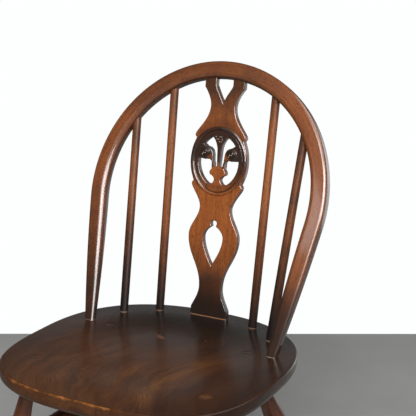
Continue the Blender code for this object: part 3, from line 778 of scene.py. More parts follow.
@dataclass(frozen=True)
class PlankFinish:
    """The seat's dark plank, with golden figure along the grain, a worn front edge, scuffs and lacquer.

    A stretch is how often a noise repeats along each way of the grain, per metre. A range is the part of a
    noise, or of the wear, over which a look sets in. The seat turns dark towards its back and sides between
    pairs of places, and coat_range is where its lacquer grows thicker towards the back.
    """

    name: str = "plank_finish"
    dusk: Colour = (0.012, 0.0085, 0.0065)
    deep: Colour = (0.040, 0.0160, 0.0090)
    body: Colour = (0.084, 0.0300, 0.0140)
    gold: Colour = (0.200, 0.080, 0.0220)
    bare: Colour = (0.360, 0.130, 0.038)
    scuff: Colour = (0.170, 0.070, 0.035)
    scuffs: tuple[Scuff, ...] = (
        Scuff(-0.0353, 0.0754, 0.0080, 0.0011, 0.3), Scuff(-0.0300, 0.0690, 0.0070, 0.0035, 0.4),
        Scuff(-0.0613, -0.1092, 0.0050, 0.0008, 0.2), Scuff(0.0420, 0.0900, 0.0040, 0.0006, 0.9))
    scuff_edge: Span = (1.0, 1.6)
    scuff_most: float = 0.8
    drift_scale: float = 9.0
    drift_reach: float = 0.02
    band_stretch: Triple = (40.0, 7.0, 40.0)
    line_stretch: Triple = (420.0, 10.0, 420.0)
    pore_stretch: Triple = (1500.0, 70.0, 1500.0)
    body_range: Span = (0.30, 0.68)
    gold_line: Span = (0.32, 0.60)
    gold_line_low: float = 0.10
    gold_band: Span = (0.25, 0.60)
    gold_band_low: float = 0.5
    pore_range: Span = (0.58, 0.72)
    pore_most: float = 0.35
    cloud_scale: float = 11.0
    cloud_range: Span = (0.45, 0.75)
    cloud_most: float = 0.45
    dark_back: Span = (-0.05, 0.16)
    dark_right: Span = (0.03, 0.20)
    dark_left: Span = (-0.21, -0.10)
    back_most: float = 0.94
    right_most: float = 0.62
    left_most: float = 0.45
    rub_scale: float = 90.0
    patch_scale: float = 30.0
    patch_reach: float = 0.45
    bare_range: Span = (0.50, 0.85)
    rough: float = 0.34
    rough_spread: float = 0.1
    rough_range: Span = (0.3, 0.7)
    line_relief: float = 0.5
    relief: float = 0.0002
    relief_strength: float = 0.2
    specular: float = 0.06
    coat: Span = (0.15, 0.85)
    coat_range: Span = (-0.20, 0.11)
    coat_rough: float = 0.19

    def scuffed(self, sheet: NodeSheet, spot: Socket, rub: Socket) -> Socket:
        """Gives where the few scuffs on the seat lie.

        Args:
            sheet: The finish's nodes.
            spot: The place on the seat.
            rub: The noise that frays their edges.

        Returns:
            A share from 0 to 1.
        """
        whole: Any = 0.0
        for scuff in self.scuffs:
            moved = sheet.vector("SUBTRACT", spot, (scuff.x, scuff.y, 0.0))
            turned = sheet.node("ShaderNodeVectorRotate", {"Vector": moved, "Angle": scuff.turn})
            drawn = sheet.scaled(turned.outputs["Vector"], (1.0 / scuff.length, 1.0 / scuff.width, 0.0))
            reach = sheet.node("ShaderNodeVectorMath", {0: drawn}, operation="LENGTH").outputs["Value"]
            whole = sheet.greater(whole, sheet.span(sheet.math("ADD", reach, rub), self.scuff_edge, 1.0, 0.0))
        return whole

    def gloom(self, sheet: NodeSheet, x: Socket, y: Socket) -> Socket:
        """Gives how dark the plank is towards its back and its sides.

        Args:
            sheet: The finish's nodes.
            x: Place across the seat.
            y: Place towards its back.

        Returns:
            A share from 0 to 1.
        """
        back = sheet.span(y, self.dark_back, 0.0, self.back_most)
        right = sheet.span(x, self.dark_right, 0.0, self.right_most)
        left = sheet.span(x, self.dark_left, self.left_most, 0.0)
        return sheet.greater(sheet.greater(back, right), left)

    def material(self) -> bpy.types.Material:
        """Makes the finish as one material.

        Returns:
            The material.
        """
        sheet = FinishSheet(self.name)
        grain = sheet.attribute("grain", "Vector")
        spot = sheet.attribute("spot", "Vector")
        sides = sheet.node("ShaderNodeSeparateXYZ", {0: spot}).outputs
        drift = sheet.sway(sheet.noise(grain, self.drift_scale), self.drift_reach)
        place = sheet.vector("ADD", grain, sheet.node("ShaderNodeCombineXYZ", {"X": drift}).outputs["Vector"])
        band = sheet.noise(sheet.scaled(place, self.band_stretch), 1.0, detail=5.0, rough=0.6, warp=0.4)
        line = sheet.noise(sheet.scaled(place, self.line_stretch), 1.0, detail=3.0, rough=0.6)
        pore = sheet.noise(sheet.scaled(place, self.pore_stretch), 1.0, detail=2.0)
        pore = sheet.span(pore, self.pore_range)
        cloud = sheet.noise(grain, self.cloud_scale, detail=3.0, rough=0.5)
        colour = sheet.mix(sheet.span(band, self.body_range), self.deep, self.body)
        golden = sheet.attribute("shade", "Fac")
        sheen = sheet.times(golden, sheet.span(line, self.gold_line, self.gold_line_low))
        sheen = sheet.times(sheen, sheet.span(band, self.gold_band, self.gold_band_low))
        colour = sheet.mix(sheen, colour, self.gold)
        colour = sheet.mix(sheet.span(cloud, self.cloud_range, 0.0, self.cloud_most), colour, self.deep)
        colour = sheet.mix(sheet.times(pore, self.pore_most), colour, self.deep)
        colour = sheet.mix(self.gloom(sheet, sides["X"], sides["Y"]), colour, self.dusk)
        rub = sheet.math("SUBTRACT", sheet.noise(grain, self.rub_scale, detail=5.0, rough=0.75), 0.5)
        colour = sheet.mix(sheet.times(self.scuffed(sheet, spot, rub), self.scuff_most), colour, self.scuff)
        patch = sheet.noise(grain, self.patch_scale, detail=3.0, rough=0.6)
        patch = sheet.math("MULTIPLY_ADD", patch, 2.0 * self.patch_reach, -self.patch_reach)
        worn = sheet.math("ADD", sheet.attribute("wear", "Fac"), sheet.math("ADD", rub, patch))
        colour = sheet.mix(sheet.span(worn, self.bare_range), colour, self.bare)
        height = sheet.math("SUBTRACT", sheet.times(line, self.line_relief), pore)
        return sheet.finish(
            Base_Color=colour,
            Roughness=sheet.span(cloud, self.rough_range, self.rough, self.rough + self.rough_spread),
            Normal=sheet.bump(height, self.relief, self.relief_strength),
            Specular_IOR_Level=self.specular,
            Coat_Weight=sheet.span(sides["Y"], self.coat_range, *self.coat),
            Coat_Roughness=self.coat_rough)


BACK_FINISH = StainedWood(
    "bow_finish", deep=(0.200, 0.057, 0.0160), body=(0.262, 0.077, 0.0205), glow=(0.310, 0.095, 0.0250),
    dusk=(0.020, 0.010, 0.0065), bare=(0.260, 0.200, 0.165), coat_rough=0.10)
SPINDLE_FINISH = StainedWood(
    "spindle_finish", deep=(0.240, 0.072, 0.0240), body=(0.330, 0.104, 0.0320), glow=(0.400, 0.132, 0.0420),
    dusk=(0.012, 0.0095, 0.0085), bare=(0.160, 0.095, 0.062), coat=0.05, coat_rough=0.25, specular=0.15)
SPLAT_FINISH = StainedWood(
    "splat_finish", deep=(0.270, 0.072, 0.0145), body=(0.355, 0.100, 0.0210), glow=(0.410, 0.122, 0.0250),
    dusk=(0.0160, 0.0100, 0.0075), bare=(0.330, 0.150, 0.080))
LEG_FINISH = StainedWood(
    "leg_finish", deep=(0.090, 0.026, 0.0100), body=(0.150, 0.044, 0.0150), glow=(0.200, 0.062, 0.0200),
    dusk=(0.016, 0.0090, 0.0065), bare=(0.400, 0.180, 0.080), coat=0.4, coat_rough=0.15)
WEDGE_FINISH = StainedWood(
    "wedge_finish", deep=(0.036, 0.0180, 0.0110), body=(0.058, 0.0270, 0.0150), glow=(0.075, 0.0340, 0.0170),
    dusk=(0.020, 0.012, 0.009), bare=(0.420, 0.200, 0.100), along=0.02, across=0.0012, coat=0.2,
    coat_rough=0.25, marked=False)
PALE_WEDGE_FINISH = replace(
    WEDGE_FINISH, name="pale_wedge_finish", deep=(0.070, 0.033, 0.0170), body=(0.110, 0.052, 0.0260),
    glow=(0.150, 0.072, 0.0360))
GOLD_WEDGE_FINISH = replace(
    WEDGE_FINISH, name="gold_wedge_finish", deep=(0.120, 0.052, 0.0170), body=(0.165, 0.072, 0.0220),
    glow=(0.200, 0.088, 0.0240))


@dataclass(frozen=True)
class Figure:
    """A golden streak on the seat: its middle and half width across, its two ends, and its strength."""

    across: float
    half: float
    start: float
    end: float
    strength: float


@dataclass
class Seat:
    """The dished plank seat, with its round arris, upright edge and relieved underside.

    It is worn golden towards its front and its left. Its front arris is worn between two angles, in degrees
    from the right by way of the back.
    """

    place: SeatFrame
    finish: PlankFinish
    half_width: float = 0.2145
    front_depth: float = 0.216
    back_depth: float = 0.2125
    front_fullness: float = 3.05
    back_fullness: float = 2.4
    edge: float = 0.013
    edge_round: float = 0.004
    undercut: float = 0.040
    dish_depth: float = 0.007
    dish_margin: float = 0.036
    dish_run: float = 0.095
    heart: float = 0.88
    ring_power: float = 1.5
    slope_step: float = 0.004
    grain_bend: float = 2.46
    grain_middle: float = -0.095
    figure_least: float = 0.08
    figure_front: Fade = Fade(0.26, 0.06, -0.14)
    figure_left: Fade = Fade(1.0, 0.12, -0.10)
    figure_start: float = 0.05
    figure_stop: float = 0.06
    figures: tuple[Figure, ...] = (
        Figure(0.0615, 0.014, -0.21, 0.06, 1.0), Figure(0.0910, 0.010, -0.17, 0.03, 0.45),
        Figure(0.0000, 0.014, -0.17, -0.01, 0.65), Figure(-0.0300, 0.012, -0.20, -0.09, 0.35),
        Figure(-0.0850, 0.022, -0.21, -0.09, 0.55), Figure(-0.1320, 0.020, -0.16, -0.05, 0.40))
    rub_start: Fade = Fade(1.0, 208.0, 34.0)
    rub_stop: Fade = Fade(1.0, 300.0, -16.0)
    rub_inset: float = 0.0010
    rub_half: float = 0.0018
    rub_least: float = 0.20
    rub_more: float = 0.48
    segments: int = 192
    rings: int = 22
    arcs: int = 7

    def outline(self, angle: np.ndarray, inset: float) -> np.ndarray:
        """Gives the plank's outline, a given inset from its edge.

        Args:
            angle: Angles about the middle of the seat.
            inset: Distance inwards from the edge.

        Returns:
            Rows of X and Y in the seat's frame.
        """
        behind = np.sin(angle) >= 0.0
        depth = np.where(behind, self.back_depth, self.front_depth) - inset
        fullness = np.where(behind, self.back_fullness, self.front_fullness)
        width = self.half_width - inset
        reach = (np.abs(np.cos(angle)) / width) ** fullness + (np.abs(np.sin(angle)) / depth) ** fullness
        reach = reach ** (-1.0 / fullness)
        return np.stack([reach * np.cos(angle), reach * np.sin(angle)], axis=1)

    def dish(self, inset: float) -> float:
        """Gives the height of the seat top, a given inset from its edge."""
        return -self.dish_depth * float(ease((inset - self.dish_margin) / self.dish_run))

    def inset_of(self, spots: np.ndarray) -> np.ndarray:
        """Estimates how far inside the edge each point lies.

        Args:
            spots: Points of the seat's frame.

        Returns:
            The distance of each from the edge.
        """
        angle = np.arctan2(spots[:, 1], spots[:, 0])
        edge = self.outline(angle, 0.0)
        return np.hypot(edge[:, 0], edge[:, 1]) - np.hypot(spots[:, 0], spots[:, 1])

    def stations(self) -> Profile:
        """Lists insets and heights from the middle of the top, over the edge, to the middle below.

        Returns:
            Pairs of inset and height.
        """
        heart = self.heart * min(self.half_width, self.front_depth, self.back_depth)
        low = self.place.thickness - self.edge
        rows = []
        for step in range(self.rings + 1):
            share = (1.0 - step / self.rings) ** self.ring_power
            inset = self.edge_round + (heart - self.edge_round) * share
            rows.append((inset, self.dish(inset)))
        for step in range(1, self.arcs + 1):
            turn = 0.5 * math.pi * step / self.arcs
            rows.append((self.edge_round * (1.0 - math.sin(turn)), -self.edge_round * (1.0 - math.cos(turn))))
        rows.append((0.0, -0.5 * (self.edge + self.edge_round)))
        rows.append((0.0, -self.edge))
        for step in range(1, 2 * self.arcs + 1):
            turn = 0.25 * math.pi * step / self.arcs
            rows.append((self.undercut * (1.0 - math.cos(turn)), -self.edge - low * math.sin(turn)))
        rows.append((heart, -self.place.thickness))
        return rows

    def settle(self, plank: Piece, inset: float, height: float) -> None:
        """Moves the selected ring to an inset of the outline and a height.

        Args:
            plank: The plank, in edit mode.
            inset: Distance inwards from the edge.
            height: Height in the seat's frame.
        """
        work = bmesh.from_edit_mesh(plank.data)
        ring = [vert for vert in work.verts if vert.select]
        angles = np.array([math.atan2(vert.co.y, vert.co.x) for vert in ring])
        for vert, (x, y) in zip(ring, self.outline(angles, inset)):
            vert.co = (x, y, height)
        bmesh.update_edit_mesh(plank.data)

    def build(self, tools: Sequence[Piece]) -> Piece:
        """Lofts the plank and bores it for what stands in it.

        Args:
            tools: Solids that cut the holes; they are used up.

        Returns:
            The finished plank.
        """
        Bench.clear()
        bpy.ops.mesh.primitive_circle_add(vertices=self.segments, radius=1.0, fill_type="NOTHING")
        plank = Bench.named("seat_plank")
        Bench.edit(plank)
        first, *others = self.stations()
        self.settle(plank, *first)
        bpy.ops.mesh.edge_face_add()
        bpy.ops.mesh.select_mode(type="EDGE")
        for inset, height in others:
            bpy.ops.mesh.extrude_region_move()
            self.settle(plank, inset, height)
        bpy.ops.mesh.edge_face_add()
        bpy.ops.mesh.select_mode(type="VERT")
        Bench.close()
        Bench.place(plank, self.place.matrix())
        for tool in tools:
            Bench.cut(plank, tool)
        Bench.smooth(plank)
        Bench.even(plank)
        return plank

    def top_at(self, spot: Vector) -> tuple[Vector, Vector]:
        """Finds the seat top above or below a place.

        Args:
            spot: The place, in the room.

        Returns:
            The point of the seat top and its normal, in the room.
        """
        matrix = self.place.matrix()
        middle = matrix.inverted() @ spot
        steps = ((0.0, 0.0), (self.slope_step, 0.0), (0.0, self.slope_step))
        corners = [Vector((middle.x + x, middle.y + y, 0.0)) for x, y in steps]
        for corner in corners:
            corner.z = self.dish(float(self.inset_of(np.array([corner]))[0]))
        normal = (corners[1] - corners[0]).cross(corners[2] - corners[0]).normalized()
        return matrix @ corners[0], matrix.to_3x3() @ normal

    def grain(self, spots: np.ndarray) -> np.ndarray:
        """Bends the plank's grain.

        Args:
            spots: Points of the seat's frame.

        Returns:
            The place of each in the grain.
        """
        bent = spots.copy()
        bent[:, 0] -= self.grain_bend * (spots[:, 1] - self.grain_middle) ** 2
        return bent

    def figure(self, spots: np.ndarray) -> np.ndarray:
        """Gives how golden the figure is.

        Args:
            spots: Points of the seat's frame.

        Returns:
            A share from 0 to 1 for each.
        """
        across = self.grain(spots)[:, 0]
        x, y = spots[:, 0], spots[:, 1]
        whole = self.figure_least + self.figure_front.at(y) * self.figure_left.at(x)
        for streak in self.figures:
            start = Fade(streak.strength, streak.start, self.figure_start)
            stop = Fade(1.0, streak.end, -self.figure_stop)
            width = np.exp(-((across - streak.across) / streak.half) ** 2)
            whole = np.maximum(whole, start.at(y) * stop.at(y) * width)
        return whole

    def dress(self, plank: Piece) -> None:
        """Marks figure and wear, and hands the plank over.

        Args:
            plank: The finished plank.
        """
        spots = local(points_of(plank), self.place.matrix())
        angle = np.degrees(np.arctan2(spots[:, 1], spots[:, 0])) % 360.0
        rim = np.exp(-((self.inset_of(spots) - self.rub_inset) / self.rub_half) ** 2)
        rim *= spots[:, 2] > -0.5 * self.edge
        wear = rim * (self.rub_least + self.rub_more * self.rub_start.at(angle) * self.rub_stop.at(angle))
        mark(plank, self.grain(spots), self.figure(spots), wear, spots)
        hand_over(plank, self.finish.material(), "seat")


@dataclass
class Bow:
    """The bent bow: an elliptical crown on straight legs that taper to the seat.

    It darkens towards the feet and at the top left, and painted shade darkens the inside of the crown and its
    narrow sides.
    """

    place: SeatFrame
    finish: StainedWood
    foot_y: float = 0.070
    lean: float = math.radians(21.4)
    foot_half: float = 0.1685
    half_width: float = 0.200
    height: float = 0.4499
    crown: float = 0.209
    section_width: float = 0.028
    section_depth: float = 0.0243
    corner: float = 0.0075
    corner_fullness: float = 1.60
    outer_corner: float = 0.0058
    outer_fullness: float = 2.0
    foot_scale: float = 0.58
    tenon_scale: float = 0.50
    taper_run: float = 0.22
    glue: float = 0.0008
    glue_rings: int = 8
    crown_steps: int = 120
    leg_steps: int = 34
    corner_steps: int = 14
    left_shade: float = 0.88
    left_reach: float = 0.27
    left_power: float = 1.4
    right_shade: Fade = Fade(0.90, 0.15, -0.09)
    # painted shade: darkens the underside inside the crown, which faces down, out of the light
    painted_inner_shade: float = 0.75
    inner_start: float = 0.30
    inner_run: float = 0.2
    # painted shade: darkens the narrow sides, which turn away from the front light
    painted_side_shade: Fade = Fade(0.55, 0.60, -0.45)
    top_shade: Fade = Fade(0.38, -0.12, 0.08)
    top_left: Fade = Fade(1.0, 0.15, -0.12)
    wear: float = 0.08
    glue_wear: float = 0.9

    def plane(self) -> Matrix:
        """Gives the bow's plane in the room: X across, Y up the lean and Z to the front."""
        lean = Matrix.Rotation(0.5 * math.pi - self.lean, 4, "X")
        return self.place.matrix() @ Matrix.Translation((0.0, self.foot_y, 0.0)) @ lean

    def top(self) -> Vector:
        """Gives the middle of the crown's centre line in the seat's frame."""
        place = self.place.matrix().inverted() @ self.plane()
        return place @ Vector((0.0, self.height, 0.0))

    def scale(self, height: float) -> float:
        """Gives the share of the full section at a height.

        Args:
            height: Height up the lean, from the seat's top.

        Returns:
            The share.
        """
        if height >= 0.0:
            lack = max(1.0 - height / self.taper_run, 0.0)
            return 1.0 - (1.0 - self.foot_scale) * lack * lack
        share = min(-height / self.place.thickness, 1.0)
        return self.foot_scale + (self.tenon_scale - self.foot_scale) * share

    def path(self) -> list[Spot]:
        """Lists points of the centre line from the right foot to the left.

        Returns:
            Places in the bow's plane.
        """
        across = self.foot_half / self.half_width
        along = (self.height - self.crown) / self.crown
        start = math.acos(1.0 / math.hypot(across, along)) - math.atan2(along, across)
        middle = self.height - self.crown
        meet = Vector((self.half_width * math.cos(start), middle + self.crown * math.sin(start)))
        foot = -self.place.thickness / math.cos(self.lean)
        heights = [foot + (meet.y - foot) * step / self.leg_steps for step in range(self.leg_steps)]
        heights += [self.glue * step for step in range(-self.glue_rings, self.glue_rings)]
        right = []
        for height in sorted(heights):
            right.append((self.foot_half + (meet.x - self.foot_half) * height / meet.y, height))
        crown = []
        for step in range(self.crown_steps + 1):
            angle = start + (math.pi - 2.0 * start) * step / self.crown_steps
            crown.append((self.half_width * math.cos(angle), middle + self.crown * math.sin(angle)))
        return right + crown + [(-x, height) for x, height in reversed(right)]

    @staticmethod
    def flat(share: float, fullness: float) -> float:
        """Draws a share of a round corner out towards a chamfer."""
        return math.copysign(abs(share) ** (2.0 / fullness), share)

    def section(self) -> Piece:
        """Draws the rounded section, whose inner corners are the fuller ones.

        Returns:
            A closed curve.
        """
        spots = []
        for corner in range(4):
            middle = 0.5 * math.pi * corner + 0.25 * math.pi
            inner = math.cos(middle) < 0.0
            radius = self.corner if inner else self.outer_corner
            fullness = self.corner_fullness if inner else self.outer_fullness
            base_x = math.copysign(0.5 * self.section_width - radius, math.cos(middle))
            base_y = math.copysign(0.5 * self.section_depth - radius, math.sin(middle))
            for step in range(self.corner_steps + 1):
                turn = 0.5 * math.pi * (corner + step / self.corner_steps)
                spots.append((base_x + radius * self.flat(math.cos(turn), fullness),
                              base_y + radius * self.flat(math.sin(turn), fullness)))
        curve = Bench.draw("bow_section", [spots], closed=True)
        curve.data.dimensions = "2D"
        curve.data.fill_mode = "NONE"
        return curve

    def build(self) -> Piece:
        """Sweeps the section along the path.

        Returns:
            The finished bow.
        """
        section = self.section()
        path = self.path()
        scales = [self.scale(height) for _, height in path]
        curve = Bench.draw("bow_rail", [path], closed=False, scales=scales)
        curve.data.dimensions = "3D"
        curve.data.twist_mode = "Z_UP"
        curve.data.bevel_mode = "OBJECT"
        curve.data.bevel_object = section
        curve.data.use_fill_caps = True
        rail = Bench.to_mesh(curve)
        bpy.data.objects.remove(section, do_unlink=True)
        Bench.place(rail, self.plane())
        under = self.place.matrix() @ Vector((0.0, 0.0, -self.place.thickness))
        Bench.trim(rail, under, -self.place.matrix().col[2].xyz)
        Bench.smooth(rail)
        return rail

    def along(self, spots: np.ndarray) -> tuple[np.ndarray, np.ndarray]:
        """Finds where points lie along the bow.

        Args:
            spots: Points of the bow's plane.

        Returns:
            How far along its centre line each point lies, and how far outside the line.
        """
        path = np.array(self.path())
        run = np.concatenate([[0.0], np.cumsum(np.hypot(*np.diff(path, axis=0).T))])
        gaps = spots[:, None, :2] - path[None, :, :]
        near = np.hypot(gaps[..., 0], gaps[..., 1]).argmin(axis=1)
        ahead = np.gradient(path, axis=0)
        ahead /= np.hypot(ahead[:, 0], ahead[:, 1])[:, None]
        gap = gaps[np.arange(len(near)), near]
        return run[near], gap[:, 0] * ahead[near, 1] - gap[:, 1] * ahead[near, 0]

    def dress(self, rail: Piece) -> None:
        """Marks the bent grain, the darkening and the painted shade, and hands the bow over.

        Args:
            rail: The finished bow.
        """
        points = points_of(rail)
        spots = local(points, self.plane())
        x, y = spots[:, 0], spots[:, 1]
        run, out = self.along(spots)
        left = self.left_shade * dark_foot(y, self.left_reach, self.left_power)
        low = np.where(x < 0.0, left, self.right_shade.at(y))
        width = self.section_width
        # painted shade on the underside inside the crown
        inner = Fade(self.painted_inner_shade, -self.inner_start * width, -self.inner_run * width).at(out)
        inner *= Fade(1.0, self.height - self.crown, self.crown).at(y)
        # painted shade on the narrow sides, by how little they face the front
        side = self.painted_side_shade.at(np.abs(facing(rail, self.plane().col[2].xyz)))
        top = self.top_shade.at(y - self.height) * self.top_left.at(x)
        above = local(points, self.place.matrix())[:, 2]
        wear = np.where(above < self.glue, self.glue_wear, self.wear)
        grain = np.stack([run, out, spots[:, 2]], axis=1)
        mark(rail, grain, np.maximum.reduce([low, inner, top, side]), wear)
        hand_over(rail, self.finish.material(), "bow")


@dataclass(frozen=True)
class Stick:
    """One spindle: its name, how high its dark foot reaches and how dark the rest is stained."""

    name: str
    reach: float
    stain: float


@dataclass
class Spindles:
    """The four turned sticks of the back, darker at their feet and their tops, with painted shade on their
    sides.
    """

    finish: StainedWood
    foot_radius: float = 0.0070
    belly_radius: float = 0.0073
    top_radius: float = 0.0071
    swell_end: float = 0.70
    taper_start: float = 0.35
    socket: float = 0.020
    glue: float = 0.0009
    glue_rings: tuple[float, ...] = (0.0, 1.0, 1.5)
    glue_top: float = 1.2
    foot_shade: float = 0.98
    foot_power: float = 1.6
    # painted shade: darkens the sides that turn away from front, the way the light comes from
    painted_side_shade: Fade = Fade(0.50, 0.72, -0.45)
    top_shade: float = 0.42
    top_run: float = 0.075
    front: Triple = (0.41, -0.91, 0.0)
    wear: float = 0.08
    glue_wear: float = 0.9
    grain_step: Triple = (0.7, 0.13, 0.21)
    sides: int = 40
    stations: int = 36
    sticks: tuple[Stick, ...] = (Stick("inner_left", 0.16, 0.06), Stick("inner_right", 0.20, 0.0),
                                 Stick("outer_left", 0.23, 0.30), Stick("outer_right", 0.19, 0.46))

    def profile(self, length: float) -> Profile:
        """Lists radius and height from the foot to the top, with close rings where the seat is met.

        Args:
            length: Length of the stick.

        Returns:
            Pairs of radius and height.
        """
        heights = [length * station / self.stations for station in range(self.stations + 1)]
        heights += [self.socket + ring * self.glue for ring in self.glue_rings]
        rows = []
        for height in sorted(heights):
            share = height / length
            swell = math.sin(math.pi * min(share / self.swell_end, 1.0))
            taper = float(ease((share - self.taper_start) / (1.0 - self.taper_start)))
            radius = self.foot_radius + (self.top_radius - self.foot_radius) * taper
            rows.append((radius + (self.belly_radius - self.foot_radius) * swell, height))
        return rows

    def build(self, node: str) -> Piece:
        """Turns one spindle.

        Args:
            node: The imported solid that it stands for.

        Returns:
            The finished spindle.
        """
        foot, top = axis_of(node)
        piece = Bench.turn(node + "_stick", self.profile((top - foot).length), self.sides)
        Bench.place(piece, aim(foot, top))
        Bench.smooth(piece)
        return piece

    def dress(self, piece: Piece, stick: Stick, node: str, shift: np.ndarray) -> None:
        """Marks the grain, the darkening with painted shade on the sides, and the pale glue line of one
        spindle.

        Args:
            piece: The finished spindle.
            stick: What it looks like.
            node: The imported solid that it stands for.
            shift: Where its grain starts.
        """
        foot, top = axis_of(node)
        spots = local(points_of(piece), aim(foot, top))
        height = spots[:, 2]
        shade = self.foot_shade * dark_foot(height - self.socket, stick.reach, self.foot_power)
        high = Fade(self.top_shade, (top - foot).length - self.socket - self.top_run, self.top_run)
        # painted shade on the sides, then the darker top and the stick's own darkening
        for more in (self.painted_side_shade.at(facing(piece, self.front)), high.at(height), stick.stain):
            shade = shade + (1.0 - shade) * more
        wear = np.where(height < self.socket + self.glue_top * self.glue, self.glue_wear, self.wear)
        mark(piece, spots[:, [2, 0, 1]] + shift, shade, wear)

    def make(self) -> list[Piece]:
        """Turns, dresses and hands over each spindle.

        Returns:
            The four spindles.
        """
        material = self.finish.material()
        made = []
        for index, stick in enumerate(self.sticks):
            node = "spindle_" + stick.name
            piece = self.build(node)
            self.dress(piece, stick, node, np.array(self.grain_step) * (index + 1))
            hand_over(piece, material, node)
            made.append(piece)
        return made


@dataclass
class Splat:
    """The pierced splat: a forked head, an oval moulding round a thistle, and a teardrop.

    A pair of sizes is one across the board and one up it. A ring is the distance from the oval's middle as a
    share of the oval. The board darkens towards the foot and the head, the oval's crown is stained dark, the
    groove carries painted shade, the cups of the buds are lighter, and some of the carved scales carry a
    painted glint.
    """

    place: SeatFrame
    bow: Bow
    finish: StainedWood
    thickness: float = 0.0125
    set_forward: float = 0.0015
    bend: float = 0.0045
    bend_steps: int = 40
    side_steps: int = 11
    edge_round: float = 0.0021
    housing: float = 0.012
    foot_y: float = 0.1865
    foot_half: float = 0.0345
    foot_rise: float = 0.013
    ankle: Spot = (0.0208, 0.052)
    belly: Spot = (0.0467, 0.139)
    waist: Spot = (0.0288, 0.189)
    neck: Spot = (0.0228, 0.361)
    prong_half: float = 0.0367
    prong_rise: float = 0.026
    prong_top: float = 0.4186
    notch_half: float = 0.0153
    notch_rise: float = 0.022
    notch_depth: float = 0.051
    oval_height: float = 0.2695
    oval_half: Spot = (0.0528, 0.0595)
    oval_band: float = 0.0155
    oval_steps: int = 144
    shoulder: Spot = (0.0472, 0.0425)
    lip: float = 0.006
    bead_radius: float = 0.0038
    bead_inset: Spot = (0.0040, 0.0034)
    bead_rise: float = 0.0020
    groove_radius: float = 0.0013
    groove_inset: Spot = (0.0080, 0.0066)
    tear_half: float = 0.0184
    tear_bottom: float = 0.090
    tear_shoulder: float = 0.138
    tear_top: float = 0.158
    knob: Spot = (0.0056, 0.010)
    bud: Spot = (0.0248, 0.2818)
    bud_radius: float = 0.0096
    bud_rise: float = 0.0016
    bud_spread: float = 1.15
    scale_pitch: float = 0.0034
    scale_rise: float = 0.0010
    scale_foot: float = 0.46
    scale_top: float = 0.24
    flower: tuple[tuple[int, float], ...] = ((2, 0.2985), (3, 0.3025), (4, 0.3065), (5, 0.3105))
    glue_line: Spot = (0.0004, 0.0010)
    glue_slack: float = 0.0001
    curve_steps: int = 14
    hard_edge: float = math.radians(35.0)
    foot_shade: Fade = Fade(0.97, 0.148, -0.13)
    head_low: Fade = Fade(0.27, 0.30, 0.03)
    head_high: Fade = Fade(0.57, 0.345, 0.05)
    oval_inside: Fade = Fade(1.0, 1.03, -0.06)
    band_shade: Fade = Fade(0.88, 0.66, 0.06)
    band_rise: Fade = Fade(1.0, -0.072, 0.060)
    crown_shade: Fade = Fade(0.93, 0.256, 0.016)
    rim_shade: Fade = Fade(0.58, 0.0, 0.03)
    rim_half: float = 0.30
    # painted shade in the sunken groove of the moulding
    painted_groove_shade: float = 0.80
    groove_drop: float = 0.0004
    groove_ring: float = 0.78
    bud_shade: Fade = Fade(0.97, 1.2, -0.3)
    wall_shade: Fade = Fade(0.70, 0.55, -0.4)
    cup_lean: float = 0.7
    cup_start: float = 0.70
    cup_run: float = 0.003
    cup_reach: float = 1.6
    cup_level: float = 0.6
    cup_light: float = 0.42
    pale_reach: float = 0.3
    pale_rise: float = 0.7
    # wear that makes a scale take the painted glint, a highlight colour
    painted_glint_value: float = 2.0
    wear: float = 0.05
    glue_wear: float = 0.95

    def plane(self) -> Matrix:
        """Gives the splat's plane in the room.

        Returns:
            A frame with X across, Y up the splat and Z to the front.
        """
        foot = Vector((0.0, self.foot_y, 0.0))
        y_axis = (self.bow.top() - foot).normalized()
        z_axis = ACROSS.cross(y_axis)
        return self.place.matrix() @ frame_at(foot + self.set_forward * z_axis, ACROSS, y_axis, z_axis)

    def outline(self) -> list[Stop]:
        """Lists the right half of the outline from the foot to the notch.

        Returns:
            Places with the handles before and after each, whose pulls are shares of the stretch they lie on.
        """
        ear = self.prong_top - self.prong_rise
        brim = self.prong_top - self.notch_rise
        notch = self.prong_top - self.notch_depth
        shoulder, reach = self.shoulder
        low, high = self.oval_height - reach, self.oval_height + reach
        lip = self.lip
        lip_half = shoulder - 0.45 * lip
        oval_pull = 0.5 * (reach - lip)
        ankle_pull = 0.40 * (self.ankle[1] - self.foot_rise)
        belly_pull = 0.40 * (self.belly[1] - self.ankle[1])
        waist_pull = 0.36 * (self.waist[1] - self.belly[1])
        ear_pull = 0.36 * (low - self.waist[1])
        neck_pull = 0.46 * (self.neck[1] - high)
        prong_pull = 0.40 * (ear - self.neck[1])
        notch_pull = 0.5 * (brim - notch)
        none = (0.0, 0.0)
        return [
            (self.foot_half, -self.housing, none, none),
            (self.foot_half, self.foot_rise, none, (-0.35 * ankle_pull, 0.8 * ankle_pull)),
            (*self.ankle, (0.0, -ankle_pull), (0.0, belly_pull)),
            (*self.belly, (0.0, -belly_pull), (0.0, waist_pull)),
            (*self.waist, (0.0, -waist_pull), (0.0, ear_pull)),
            (shoulder, low, (-0.1 * lip, -1.2 * lip), (0.2 * lip, 0.4 * lip)),
            (lip_half, low + lip, none, (0.2 * oval_pull, 0.5 * oval_pull)),
            (self.oval_half[0], self.oval_height, (0.0, -oval_pull), (0.0, oval_pull)),
            (lip_half, high - lip, (0.2 * oval_pull, -0.5 * oval_pull), none),
            (shoulder, high, (0.2 * lip, -0.4 * lip), (-0.1 * lip, 1.2 * lip)),
            (*self.neck, (0.0, -neck_pull), (0.0, prong_pull)),
            (self.prong_half, ear, (-0.4 * prong_pull, -0.5 * prong_pull), none),
            (self.prong_half, self.prong_top, none, none),
            (self.notch_half, self.prong_top, none, none),
            (self.notch_half, brim, none, (-0.15 * notch_pull, -0.45 * notch_pull)),
            (0.0, notch, (0.24 * notch_pull, 0.8 * notch_pull), none),
        ]

